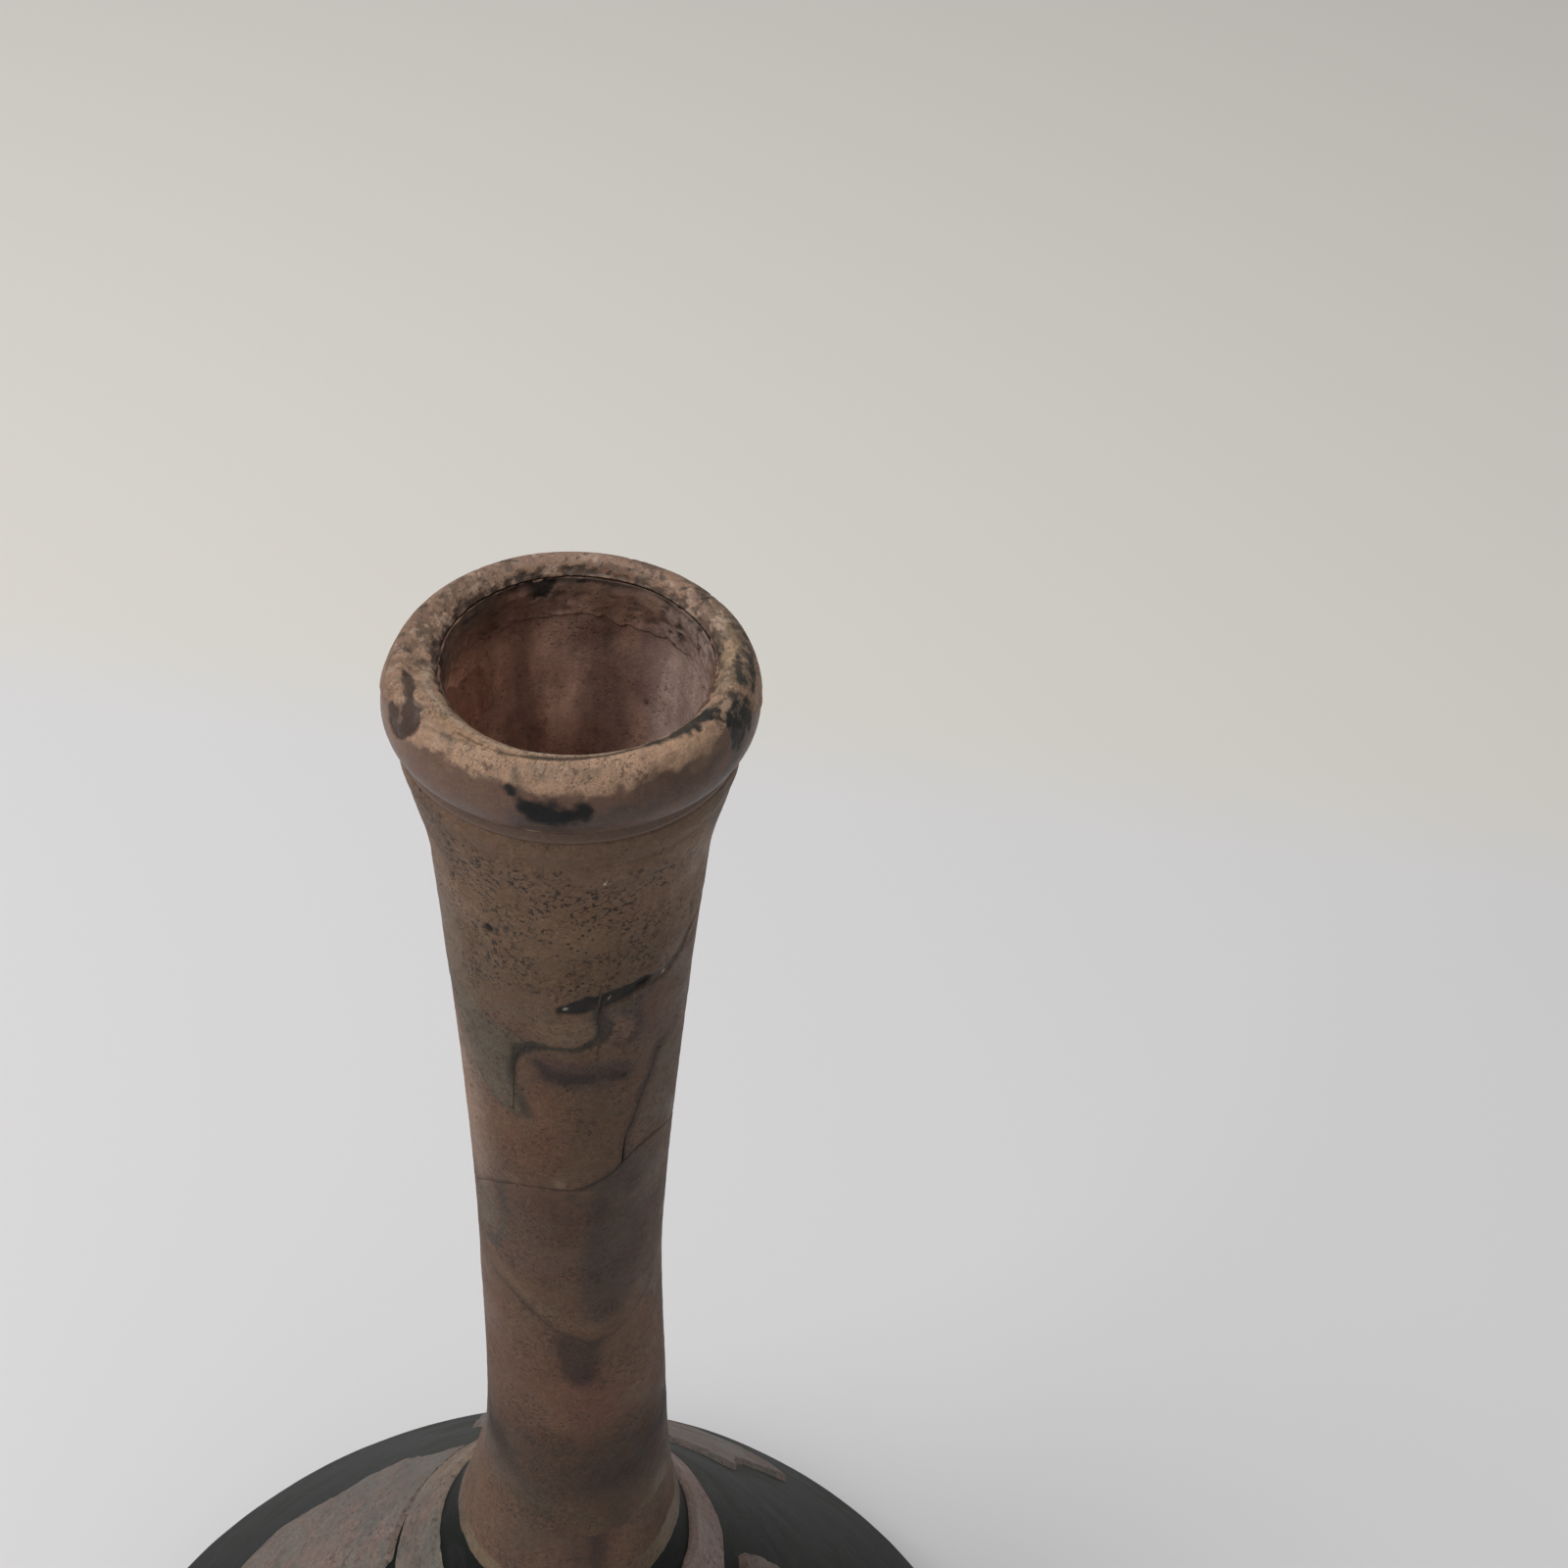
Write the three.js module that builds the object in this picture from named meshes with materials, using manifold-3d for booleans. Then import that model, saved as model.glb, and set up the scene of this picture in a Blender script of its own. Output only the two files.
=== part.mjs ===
// Small ancient glass bottle: a long narrow neck with a rolled rim on a bell-shaped body.
// The vessel was broken at the neck and mended, so its glass is a set of sherds, and the
// sherds carry thin sheets of weathering crust. Millimetres, +Z up, standing on z = 0, with
// the body's axis on the z axis and the front of the bottle towards -Y.
import * as THREE from "three";
import { mergeVertices } from "three/addons/utils/BufferGeometryUtils.js";
import Module from "manifold-3d";

const wasm = await Module();
wasm.setup();

// ---- driving dimensions ----
const bottleHeight = 129.4;
const bodyDiameter = 77; // front to back, at the heel
const bodyOvality = 1.06; // side to side over front to back
const heelRadius = 6;
const shoulderApex = 63; // height at which the straight flank would reach the axis
const rootFillet = 2.6; // how softly the flank runs into the neck
const waistDiameter = 10.15; // the neck's own narrowest outside, before the fillet adds to it
const waistHeight = 85;
const neckTopDiameter = 14.6; // just under the rolled rim
const neckFlarePower = 1.4;
const rimDiameter = 18;
const rimWidth = 2.6; // the roll's section, across
const rimDepth = 4.5; // the roll's section, up and down
const neckOffset = 2.3; // the neck stands this far to the right of the body's axis
const neckBend = 0.4; // and the mended lower neck a little further

const neckWall = 1.05;
const bodyWall = 1.8;
const baseThickness = 2.6;
const kickHeight = 3; // the base is pushed in by this much
const restWidth = 4; // width of the flat ring that the bottle stands on

const crustThickness = 0.35;
const crustGap = 0.3; // clearance between a sheet of crust and the glass under it
const jointGap = 0.3; // clearance between two neighbouring pieces along a break
const liningDepth = 24; // how far the crust inside the mouth reaches down
const lipFoldWidth = 0.7;
const lipFoldDepth = 3;

const neckSides = 28;
const bodySides = 40;

// ---- heights that follow from them ----
const rollCentre = bottleHeight - rimDepth / 2;
const neckTop = bottleHeight - rimDepth + 0.4; // where the neck's skin runs into the roll
const collarTop = neckTop - 2.2; // where the neck's glass starts to turn out into the roll
const rollRadius = (rimDiameter - rimWidth) / 2; // circle that the roll's section runs round
const skinToGlass = crustThickness + crustGap;
const bodyRadius = bodyDiameter / 2;
const restOuter = bodyRadius - heelRadius;
const restInner = restOuter - restWidth;

// The flank is the line from the apex that just touches the heel's round.
const flankAngle = Math.atan2(restOuter, shoulderApex - heelRadius)
  + Math.asin(heelRadius / Math.hypot(restOuter, shoulderApex - heelRadius));
const flankFoot = heelRadius + heelRadius * Math.sin(flankAngle);
const neckRoot = shoulderApex - 7; // height of the dark groove round the foot of the neck
const ringTop = neckRoot - 3.6; // the ring of crust below that groove
const ringLow = ringTop - 4.6;

// ---- colours ----
const darkGlass = { color: 0x1a201c, roughness: 0.25, metalness: 0 };
const brownCrust = { color: 0x6f5646, roughness: 0.72, metalness: 0 };
const tanCrust = { color: 0x97795f, roughness: 0.8, metalness: 0 };
const pinkCrust = { color: 0x8c7770, roughness: 0.8, metalness: 0 };
const oliveCrust = { color: 0x6a5d4a, roughness: 0.8, metalness: 0 };
const liningCrust = { color: 0x7d5f57, roughness: 0.7, metalness: 0 };

const degrees = (angle) => (angle * Math.PI) / 180;

// Smooth step from 0 at a to 1 at b.
function smooth(a, b, value) {
  const s = THREE.MathUtils.clamp((value - a) / (b - a), 0, 1);
  return s * s * (3 - 2 * s);
}

// Outside radius of the crusted bottle at a height, between the flank's foot and the roll:
// a smooth maximum of the neck's radius and the flank's radius.
function skinRadius(z) {
  const rise = Math.max(0, (z - waistHeight) / (neckTop - waistHeight));
  const waist = waistDiameter / 2;
  const neck = waist + (neckTopDiameter / 2 - waist) * rise ** neckFlarePower;
  const flank = (shoulderApex - z) * Math.tan(flankAngle);
  return (neck + flank + Math.hypot(neck - flank, 2 * rootFillet)) / 2;
}

const glassRadius = (z) => skinRadius(z) - skinToGlass;

// The wall thickens from the neck's to the body's across the shoulder.
const wallAt = (z) => THREE.MathUtils.lerp(bodyWall, neckWall, smooth(20, neckRoot, z));
const boreRadius = (z) => glassRadius(z) - wallAt(z);

// Sideways place of the vessel's centre line: the neck doesn't stand over the body's middle.
function centreX(z) {
  const up = neckOffset * smooth(flankFoot + 10, neckRoot + 10, z);
  const bend = neckBend * smooth(neckRoot - 10, neckRoot + 12, z);
  return up + bend * (1 - smooth(neckRoot + 12, waistHeight + 2, z));
}

const ovality = (z) => 1 + (bodyOvality - 1) * (1 - smooth(flankFoot + 18, neckRoot + 4, z));

// ---- solids ----
// A three.js geometry as a manifold-3d solid, and back.
function solid(geometry) {
  const bare = new THREE.BufferGeometry();
  bare.setAttribute("position", geometry.getAttribute("position"));
  bare.setIndex(geometry.index);
  const merged = mergeVertices(bare, 1e-4);
  return new wasm.Manifold(new wasm.Mesh({
    numProp: 3,
    vertProperties: merged.attributes.position.array,
    triVerts: new Uint32Array(merged.index.array),
  }));
}

function geometryOf(body) {
  const mesh = body.getMesh();
  const geometry = new THREE.BufferGeometry();
  geometry.setAttribute("position", new THREE.BufferAttribute(mesh.vertProperties, 3));
  geometry.setIndex(new THREE.BufferAttribute(mesh.triVerts, 1));
  geometry.computeVertexNormals();
  return geometry;
}

// Turns a closed section of [radius, height] points round the bottle's own centre line.
function turned(section, sides) {
  const points = section.map(([r, z]) => new THREE.Vector2(Math.max(r, 0), z));
  const geometry = new THREE.LatheGeometry(points, sides);
  geometry.rotateX(Math.PI / 2);
  const place = geometry.getAttribute("position");
  for (let i = 0; i < place.count; i++) {
    const z = place.getZ(i);
    place.setX(i, place.getX(i) * ovality(z) + centreX(z));
  }
  return solid(geometry);
}

// Heights from a to b, count steps.
const heights = (a, b, count) =>
  Array.from({ length: count + 1 }, (_, i) => THREE.MathUtils.lerp(a, b, i / count));

// A closed section between two radius functions from height low to height high.
function wallSection(outer, inner, low, high, steps) {
  const up = heights(low, high, steps);
  const section = [
    ...up.map((z) => [outer(z), z]),
    ...up.slice().reverse().map((z) => [inner(z), z]),
  ];
  return [...section, section[0]];
}

// ---- breaks ----
// A break runs round the neck at a height that depends on the azimuth, which is counted
// from the front, positive to the right. Heights between stations are interpolated smoothly.
function breakLine(stations) {
  return (azimuth) => {
    const turn = 360;
    const last = stations.length - 1;
    for (let i = 0; i <= last; i++) {
      const [a, za] = stations[i];
      const [b, zb] = i < last ? stations[i + 1] : [stations[0][0] + turn, stations[0][1]];
      const at = azimuth < stations[0][0] ? azimuth + turn : azimuth;
      if (at >= a && at <= b) return THREE.MathUtils.lerp(za, zb, smooth(a, b, at));
    }
    return stations[0][1];
  };
}

// Every break hangs on the neck's waist or on the rim, so it moves with them.
const upperBreak = breakLine([
  [-170, waistHeight + 9], [-86, waistHeight + 6.6], [-35, waistHeight + 11.2],
  [10, waistHeight + 11.9], [50, waistHeight + 13.8], [90, waistHeight + 12.0],
  [140, waistHeight + 10.5],
]);
const lowerBreak = breakLine([
  [-170, waistHeight + 1], [-90, waistHeight + 2.5], [-45, waistHeight + 1], [12, waistHeight - 2.8],
  [56, waistHeight - 0.9], [110, waistHeight - 2],
]);
const crustEdge = breakLine([
  [-170, waistHeight + 16], [-90, waistHeight + 15], [-40, waistHeight + 17], [-3, waistHeight + 25],
  [35, waistHeight + 27.5], [80, waistHeight + 34], [140, waistHeight + 24],
]);

// Everything under a break: a drum wider than the neck whose top follows the break.
function under(line, shift = 0) {
  const reach = rimDiameter;
  const floor = neckRoot - 20;
  const drum = new THREE.CylinderGeometry(reach, reach, 1, neckSides, 1);
  drum.rotateX(Math.PI / 2);
  const place = drum.getAttribute("position");
  const middle = (line(-90) + line(90)) / 2;
  for (let i = 0; i < place.count; i++) {
    const [x, y, z] = [place.getX(i), place.getY(i), place.getZ(i)];
    const azimuth = THREE.MathUtils.radToDeg(Math.atan2(x, -y));
    const top = Math.hypot(x, y) < 1 ? middle : line(azimuth);
    place.setX(i, x + neckOffset);
    place.setZ(i, z < 0 ? floor : top + shift);
  }
  return solid(drum);
}

// A prism that stands outwards from the bottle's centre line, cutting an outline of
// [across, height] points out of whatever wall it meets at that azimuth.
function outward(outline, azimuth, z, reach) {
  const points = outline.map(([across, up]) => new THREE.Vector2(across, up));
  const shape = new THREE.Shape(points);
  const prism = new THREE.ExtrudeGeometry(shape, { depth: reach, bevelEnabled: false });
  prism.rotateX(Math.PI / 2); // shape's y to z, depth towards -y
  prism.rotateZ(degrees(azimuth));
  prism.translate(centreX(z), 0, z);
  return solid(prism);
}

// An irregular closed outline: an ellipse whose edge wanders by two waves.
function patchOutline(width, height, [waves, phase], grow = 0) {
  const count = 18;
  return Array.from({ length: count }, (_, i) => {
    const a = (i / count) * 2 * Math.PI;
    const wander = 1 + 0.13 * Math.sin(waves * a + phase) + 0.07 * Math.sin((waves + 3) * a - phase);
    return [(width / 2 * wander + grow) * Math.cos(a), (height / 2 * wander + grow) * Math.sin(a)];
  });
}

// The sherd between the upper break and a hairline crack, on the right of the neck.
const wedgeAzimuth = 82;
const wedgeHeight = waistHeight + 13;
const wedgeOutline = (grow) => [
  [-3.9 - grow, -9], [3.9 + grow, -9], [4.1 + grow, 4.4 + grow],
  [-1.8, 5.6 + grow], [-3.2 - grow, 7.4 + grow], [-3.5 - grow, 2],
];
const wedgePrism = (grow = 0) => outward(wedgeOutline(grow), wedgeAzimuth, wedgeHeight, rimDiameter);

// ---- glass ----
// Quarter turns round the roll's oval section, from angle a to b (0 is outwards, 90 is up).
function rollArc(halfWidth, halfDepth, a, b, count) {
  return heights(a, b, count).map((angle) => [
    rollRadius + halfWidth * Math.cos(degrees(angle)),
    rollCentre + halfDepth * Math.sin(degrees(angle)),
  ]);
}

const rollHalfWidth = rimWidth / 2 - skinToGlass;
const rollHalfDepth = rimDepth / 2 - skinToGlass;
const mouthRadius = rollRadius - rimWidth / 2;

// The neck from its foot to the rim, before it is broken: outside wall, the roll, and the bore.
function neckGlass() {
  const outside = heights(neckRoot, collarTop, 13).map((z) => [glassRadius(z), z]);
  const roll = rollArc(rollHalfWidth + 0.3, rollHalfDepth, -50, 90, 6);
  const seat = [
    [rollRadius - 0.02, rollCentre + rollHalfDepth - 0.5],
    [rollRadius - 0.25, rollCentre - lipFoldDepth / 2 - jointGap],
    [mouthRadius + 0.1, rollCentre - lipFoldDepth / 2 - jointGap - 0.2],
  ];
  const bore = heights(collarTop, neckRoot, 13).map((z) => [boreRadius(z), z]);
  const section = [...outside, ...roll, ...seat, ...bore];
  return turned([...section, section[0]], neckSides);
}

// The rim's edge, rolled inwards and down, leaving a seam just inside the mouth.
function lipFold() {
  const inner = mouthRadius + 0.1;
  const outer = inner + lipFoldWidth;
  const top = rollCentre + rollHalfDepth - 0.35;
  const low = rollCentre - lipFoldDepth / 2;
  const section = [
    [outer - 0.1, low], [outer, low + 0.3], [outer, top - 0.35], [outer - 0.2, top],
    [inner + 0.12, top - 0.1], [inner, top - 0.5], [inner, low + 0.4], [inner + 0.2, low],
  ];
  return turned([...section, section[0]], neckSides);
}

// The body: flank, heel, the flat ring it stands on and the pushed-in base, all one wall.
function bodyGlass() {
  const top = neckRoot - jointGap;
  const inset = (z) => glassRadius(z);
  const flank = heights(flankFoot, top, 12).map((z) => [inset(z), z]);
  const heelSize = heelRadius - skinToGlass;
  const heel = heights(-90, THREE.MathUtils.radToDeg(flankAngle), 6).slice(0, -1).map((angle) => [
    restOuter + heelSize * Math.cos(degrees(angle)),
    heelSize + heelSize * Math.sin(degrees(angle)),
  ]);
  const kick = heights(0, 1, 4).map((s) => [restInner * s, kickHeight * Math.cos(degrees(90 * s))]);
  const floor = heights(1, 0, 4).map((s) => [
    (restOuter - 1) * s,
    baseThickness + kickHeight * 0.9 * Math.cos(degrees(90 * s)),
  ]);
  const inside = heights(top, flankFoot, 12).map((z) => [boreRadius(z), z]);
  const turn = [[restOuter + heelSize - bodyWall - 0.3, heelSize], [restOuter + 1.4, baseThickness + 0.5]];
  return turned([...kick, ...heel, ...flank, ...inside, ...turn, ...floor], bodySides);
}

// ---- crust ----
const crustOuter = (z) => skinRadius(z);
const crustInner = (z) => skinRadius(z) - crustThickness;

function neckCrust(low, high, steps) {
  return turned(wallSection(crustOuter, crustInner, low, high, steps), neckSides);
}

// Crust over the roll, from just inside the crest to its underside.
function rimCrust() {
  const outside = rollArc(rimWidth / 2, rimDepth / 2, -48, 108, 7);
  const inside = rollArc(rimWidth / 2 - crustThickness, rimDepth / 2 - crustThickness, 108, -48, 7);
  const section = [...outside, ...inside];
  return turned([...section, section[0]], neckSides);
}

// Crust on the wall inside the mouth, below the folded lip.
function mouthLining() {
  const top = rollCentre - lipFoldDepth / 2 - 2.5;
  const outer = (z) => boreRadius(z) - crustGap;
  const inner = (z) => boreRadius(z) - crustGap - 0.3;
  return turned(wallSection(outer, inner, top - liningDepth, top, 5), neckSides);
}

// The whole sheet that the body's patches are cut from.
const bodyCrustSheet = turned(
  wallSection(crustOuter, crustInner, flankFoot, ringLow - jointGap, 12), bodySides,
);

// A patch spans a share of the body's turn, in degrees, and a share of the flank's height, so
// that the patches keep their places round a wider or a taller body.
function bodyPatch({ azimuth, at, span, rise, edge }) {
  const flankHeight = neckRoot - flankFoot;
  const z = flankFoot + at * flankHeight;
  const width = 2 * skinRadius(z) * Math.sin(degrees(span / 2));
  const outline = patchOutline(width, rise * flankHeight, edge);
  return bodyCrustSheet.intersect(outward(outline, azimuth, z, bodyDiameter));
}

// Where the body's sheets of crust lie: azimuth and height of the middle, and how big.
const bodyPatches = {
  shoulder_crust_left: { azimuth: -112, at: 0.63, span: 82, rise: 0.5, edge: [3, 0.4] },
  shoulder_crust_right: { azimuth: 82, at: 0.65, span: 40, rise: 0.3, edge: [2, 1.9] },
  flank_crust_front: { azimuth: -8, at: 0.36, span: 64, rise: 0.41, edge: [4, 2.2] },
  flank_crust_right: { azimuth: 88, at: 0.24, span: 53, rise: 0.36, edge: [3, 3.3] },
  flank_crust_rear: { azimuth: 166, at: 0.34, span: 60, rise: 0.44, edge: [4, 5.1] },
  flank_crust_left: { azimuth: -84, at: 0.17, span: 50, rise: 0.24, edge: [3, 1.2] },
};

// ---- the bottle ----
const bottle = new THREE.Group();

function add(name, body, finish) {
  const mesh = new THREE.Mesh(geometryOf(body), new THREE.MeshStandardMaterial(finish));
  mesh.name = name;
  bottle.add(mesh);
}

const neck = neckGlass();
const overUpper = (body) => body.subtract(under(upperBreak, jointGap));
const overLower = (body) => body.subtract(under(lowerBreak, jointGap));

const upperGlass = overUpper(neck);
add("upper_neck_sherd", upperGlass.subtract(wedgePrism(jointGap)), darkGlass);
add("neck_wedge_sherd", upperGlass.intersect(wedgePrism()), darkGlass);
add("middle_neck_sherd", overLower(neck.intersect(under(upperBreak))), darkGlass);
add("lower_neck_sherd", neck.intersect(under(lowerBreak)), darkGlass);
add("body", bodyGlass(), darkGlass);
add("lip_fold", lipFold(), darkGlass);

const crust = neckCrust(neckRoot, collarTop - jointGap, 14);
const upperCrust = overUpper(crust);
add("rim_crust", rimCrust(), tanCrust);
add("collar_crust", upperCrust.subtract(under(crustEdge, jointGap)).subtract(wedgePrism(jointGap)),
  brownCrust);
add("upper_neck_crust", upperCrust.intersect(under(crustEdge)).subtract(wedgePrism(jointGap)),
  brownCrust);
add("wedge_crust", upperCrust.intersect(wedgePrism()), brownCrust);
add("middle_neck_crust", overLower(crust.intersect(under(upperBreak))), brownCrust);
add("lower_neck_crust", crust.intersect(under(lowerBreak)), oliveCrust);
add("mouth_lining", mouthLining(), liningCrust);

add("shoulder_ring_crust",
  turned(wallSection(crustOuter, crustInner, ringLow, ringTop, 2), bodySides), pinkCrust);
for (const [name, patch] of Object.entries(bodyPatches)) add(name, bodyPatch(patch), pinkCrust);

export default bottle;
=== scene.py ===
import math

import bpy
import numpy as np
from mathutils import Matrix, Vector


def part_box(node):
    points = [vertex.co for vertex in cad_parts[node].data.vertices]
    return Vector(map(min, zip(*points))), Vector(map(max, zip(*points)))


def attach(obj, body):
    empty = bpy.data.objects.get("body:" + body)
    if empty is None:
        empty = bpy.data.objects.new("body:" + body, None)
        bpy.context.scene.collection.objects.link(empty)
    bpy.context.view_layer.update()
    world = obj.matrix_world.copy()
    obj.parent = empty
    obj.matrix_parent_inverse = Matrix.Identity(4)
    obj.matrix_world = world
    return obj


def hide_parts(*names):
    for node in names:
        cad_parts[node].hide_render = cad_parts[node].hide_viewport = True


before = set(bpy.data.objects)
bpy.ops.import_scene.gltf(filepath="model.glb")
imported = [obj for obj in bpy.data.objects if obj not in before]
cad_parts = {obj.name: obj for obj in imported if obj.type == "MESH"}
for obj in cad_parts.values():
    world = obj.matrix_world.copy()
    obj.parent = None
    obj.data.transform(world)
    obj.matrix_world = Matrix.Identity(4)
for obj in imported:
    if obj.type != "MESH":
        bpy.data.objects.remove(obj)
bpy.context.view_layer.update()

# Lengths below are in millimetres and are made metres when a mesh is built. Azimuths are in degrees
# round the neck, 0 at the front (-Y) and positive to the right (+X).
mm = 0.001


def top(node):
    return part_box(node)[1].z / mm


def bottom(node):
    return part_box(node)[0].z / mm


# ---------- the bottle's form, as in the CAD model ----------
rimTop = top("rim_crust")
bodySize = (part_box("body")[1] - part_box("body")[0]) / mm
form = {
    "skinToGlass": 0.65,          # the CAD glass stays this far under the crust's face
    "bodyRadius": bodySize.y / 2 + 0.65,
    "ovality": 1.06,
    "heelRadius": 6,
    "shoulderApex": 63,
    "rootFillet": 2.6,
    "waistRadius": 5.075,
    "waistHeight": 85,
    "neckTopRadius": 7.3,
    "neckTop": rimTop - 4.1,
    "flarePower": 1.4,
    "rollCircle": 7.7,            # circle that the roll's section runs round
    "rollHalfWidth": 1.3,
    "rollHalfDepth": 2.25,
    "rollUnder": 1.75,            # the roll is shallower below its middle
    "lipReach": 1.45,             # and a little broader beyond its crest
    "lipRadius": 6.69,            # it ends here, at the seam of the folded edge
    "collarFlare": 0.75,          # how far the collar swells out under the roll
    "neckOffset": 2.3,
    "neckBend": 0.4,
    "neckRoot": bottom("lower_neck_sherd"),
    "neckWall": 1.05,
    "bodyWall": 1.8,
    "filmUnder": 0.25,            # the shown glass lies this far under the crust's face
}
rollCentre = rimTop - form["rollHalfDepth"]
restOuter = form["bodyRadius"] - form["heelRadius"]
apexRise = form["shoulderApex"] - form["heelRadius"]
flankAngle = math.atan2(restOuter, apexRise) + math.asin(form["heelRadius"] / math.hypot(restOuter, apexRise))
flankFoot = form["heelRadius"] * (1 + math.sin(flankAngle))


# smooth step: 0 at a, 1 at b, and 3s^2 - 2s^3 between
def smooth(a, b, x):
    s = np.clip((x - a) / (b - a), 0, 1)
    return s * s * (3 - 2 * s)


# outside radius at a height: the smooth maximum of the flaring neck and the straight flank, with a
# swelling collar under the roll and a slight ridge and groove where it was tooled
def skinRadius(z):
    rise = np.clip((z - form["waistHeight"]) / (form["neckTop"] - form["waistHeight"]), 0, None)
    neck = form["waistRadius"] + (form["neckTopRadius"] - form["waistRadius"]) * rise ** form["flarePower"]
    flank = (form["shoulderApex"] - z) * math.tan(flankAngle)
    bare = (neck + flank + np.hypot(neck - flank, 2 * form["rootFillet"])) / 2
    flare = form["collarFlare"] * smooth(rimTop - 11.2, rimTop - 4.8, z)
    under = z - rimTop
    ridge = 0.07 * np.exp(-((under + 5.5) / 0.45) ** 2) - 0.05 * np.exp(-((under + 6.3) / 0.35) ** 2)
    return bare + flare + ridge


def boreRadius(z):
    wall = form["bodyWall"] + (form["neckWall"] - form["bodyWall"]) * smooth(20, form["neckRoot"], z)
    return skinRadius(z) - form["skinToGlass"] - wall


# the neck leans away from the body's middle: two smooth steps in x with height
def centreX(z):
    root, waist = form["neckRoot"], form["waistHeight"]
    up = form["neckOffset"] * smooth(flankFoot + 10, root + 10, z)
    bend = form["neckBend"] * smooth(root - 10, root + 12, z)
    return up + bend * (1 - smooth(root + 12, waist + 2, z))


def ovality(z):
    return 1 + (form["ovality"] - 1) * (1 - smooth(flankFoot + 18, form["neckRoot"] + 4, z))


# a point at azimuth, distance r from the centre line and height z
def place(azimuth, r, z):
    a = np.radians(azimuth)
    return np.stack([r * np.sin(a) * ovality(z) + centreX(z), -r * np.cos(a), z + 0 * a], -1)


# ---------- numpy helpers for relief and painted marks ----------
# value noise: every lattice point has a hashed number, and smooth steps blend the eight round a point
def noise(points, size, seed=0):
    p = points / size + 100
    base = np.floor(p).astype(np.int64)
    f = p - base
    f = f * f * (3 - 2 * f)
    total = np.zeros(points.shape[:-1])
    for corner in range(8):
        step = np.array([corner & 1, corner >> 1 & 1, corner >> 2])
        h = (base + step) @ np.array([73856093, 19349663, 83492791]) + seed * 668265263
        h = (h ^ (h >> 13)) * 1274126177 & 0xFFFFFFFF
        h = ((h ^ (h >> 15)) * 461845907 & 0xFFFFFFFF) >> 8
        total += (h & 0xFFFF) / 0xFFFF * np.prod(np.where(step, f, 1 - f), -1)
    return total


# sum of noises, each half the size and half the weight of the one before
def fractal(points, size, octaves=3, seed=0):
    weights = 0.5 ** np.arange(octaves)
    return sum(w * noise(points, size * w, seed + i) for i, w in enumerate(weights)) / weights.sum()


def wrap(angle):
    return (angle + 180) % 360 - 180


# Catmull-Rom points along a line of [azimuth, height] points
def softLine(points, closed=False, each=5):
    p = np.array(points, float)
    p = np.vstack([p[-1:], p, p[:2]]) if closed else np.vstack([2 * p[0] - p[1], p, 2 * p[-1] - p[-2]])
    t = np.arange(each) / each
    out = [0.5 * (2 * b + np.outer(t, c - a) + np.outer(t ** 2, 2 * a - 5 * b + 4 * c - d)
                  + np.outer(t ** 3, 3 * b - a - 3 * c + d)) for a, b, c, d in zip(p, p[1:], p[2:], p[3:])]
    return np.vstack(out + [p[1:2] if closed else p[-2:-1]])


# distance on the unrolled wall to a line, and the share of the line at the nearest point
def alongLine(wall, points):
    nearest = np.full(wall["up"].shape, 1e9)
    share = np.zeros_like(nearest)
    count = len(points) - 1
    for i, (a, b) in enumerate(zip(points, points[1:])):
        x, y = wrap(wall["azimuth"] - a[0]) * wall["perDegree"], wall["up"] - a[1]
        dx, dy = (b[0] - a[0]) * wall["perDegree"], b[1] - a[1]
        t = np.clip((x * dx + y * dy) / (dx * dx + dy * dy + 1e-12), 0, 1)
        d = np.hypot(x - t * dx, y - t * dy)
        nearer = d < nearest
        nearest, share = np.where(nearer, d, nearest), np.where(nearer, (i + t) / count, share)
    return nearest, share


# 1 inside a closed line of [azimuth, height] points and 0 outside, by counting crossings
def inside(wall, points):
    middle = points[:, 0].mean()
    x = wrap(wall["azimuth"] - middle) + middle
    odd = np.zeros(x.shape, bool)
    for a, b in zip(points, points[1:]):
        if a[1] != b[1]:
            crosses = ((a[1] > wall["up"]) != (b[1] > wall["up"])) & (
                x < a[0] + (wall["up"] - a[1]) * (b[0] - a[0]) / (b[1] - a[1]))
            odd ^= crosses
    return odd


# how far a mark covers each point: a line of some width, a closed patch or a round spot, its edge
# made ragged by noise and blurred over "soft"; only points near the mark are worked out
def cover(wall, mark):
    rag, soft = mark.get("rag", 0.3), mark.get("soft", 0.15)
    shape = np.array(mark["spot"][:2] if "spot" in mark else mark.get("patch", mark.get("line")), float)
    shape = shape.reshape(-1, 2)
    wide = max(mark.get("width", [0])) + (mark["spot"][2] if "spot" in mark else 0)
    reach = wide + soft + rag + 0.5
    low, high = shape.min(0), shape.max(0)
    middle, half = (low + high) / 2, (high - low) / 2 + reach
    near = (np.abs(wrap(wall["azimuth"] - middle[0])) < half[0] + reach / wall["perDegree"] + 3) & (
        np.abs(wall["up"] - middle[1]) < half[1])
    covered = np.zeros(near.shape)
    if not near.any():
        return covered
    part = {key: values[near] for key, values in wall.items()}
    wobble = (fractal(part["points"], mark.get("ragSize", 0.7), 3, mark.get("seed", 5)) - 0.5) * rag
    if "spot" in mark:
        azimuth, up, radius = mark["spot"]
        d = np.hypot(wrap(part["azimuth"] - azimuth) * part["perDegree"], part["up"] - up) - radius
    elif "patch" in mark:
        edge = softLine(mark["patch"], closed=True)
        d = alongLine(part, edge)[0] * np.where(inside(part, edge), -1, 1)
    else:
        d, share = alongLine(part, softLine(mark["line"]))
        width = mark["width"]
        d = d - np.interp(share, np.linspace(0, 1, len(width)), width) / 2
    covered[near] = mark.get("strength", 1) * (1 - smooth(-soft, soft, d + wobble))
    return covered


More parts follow.
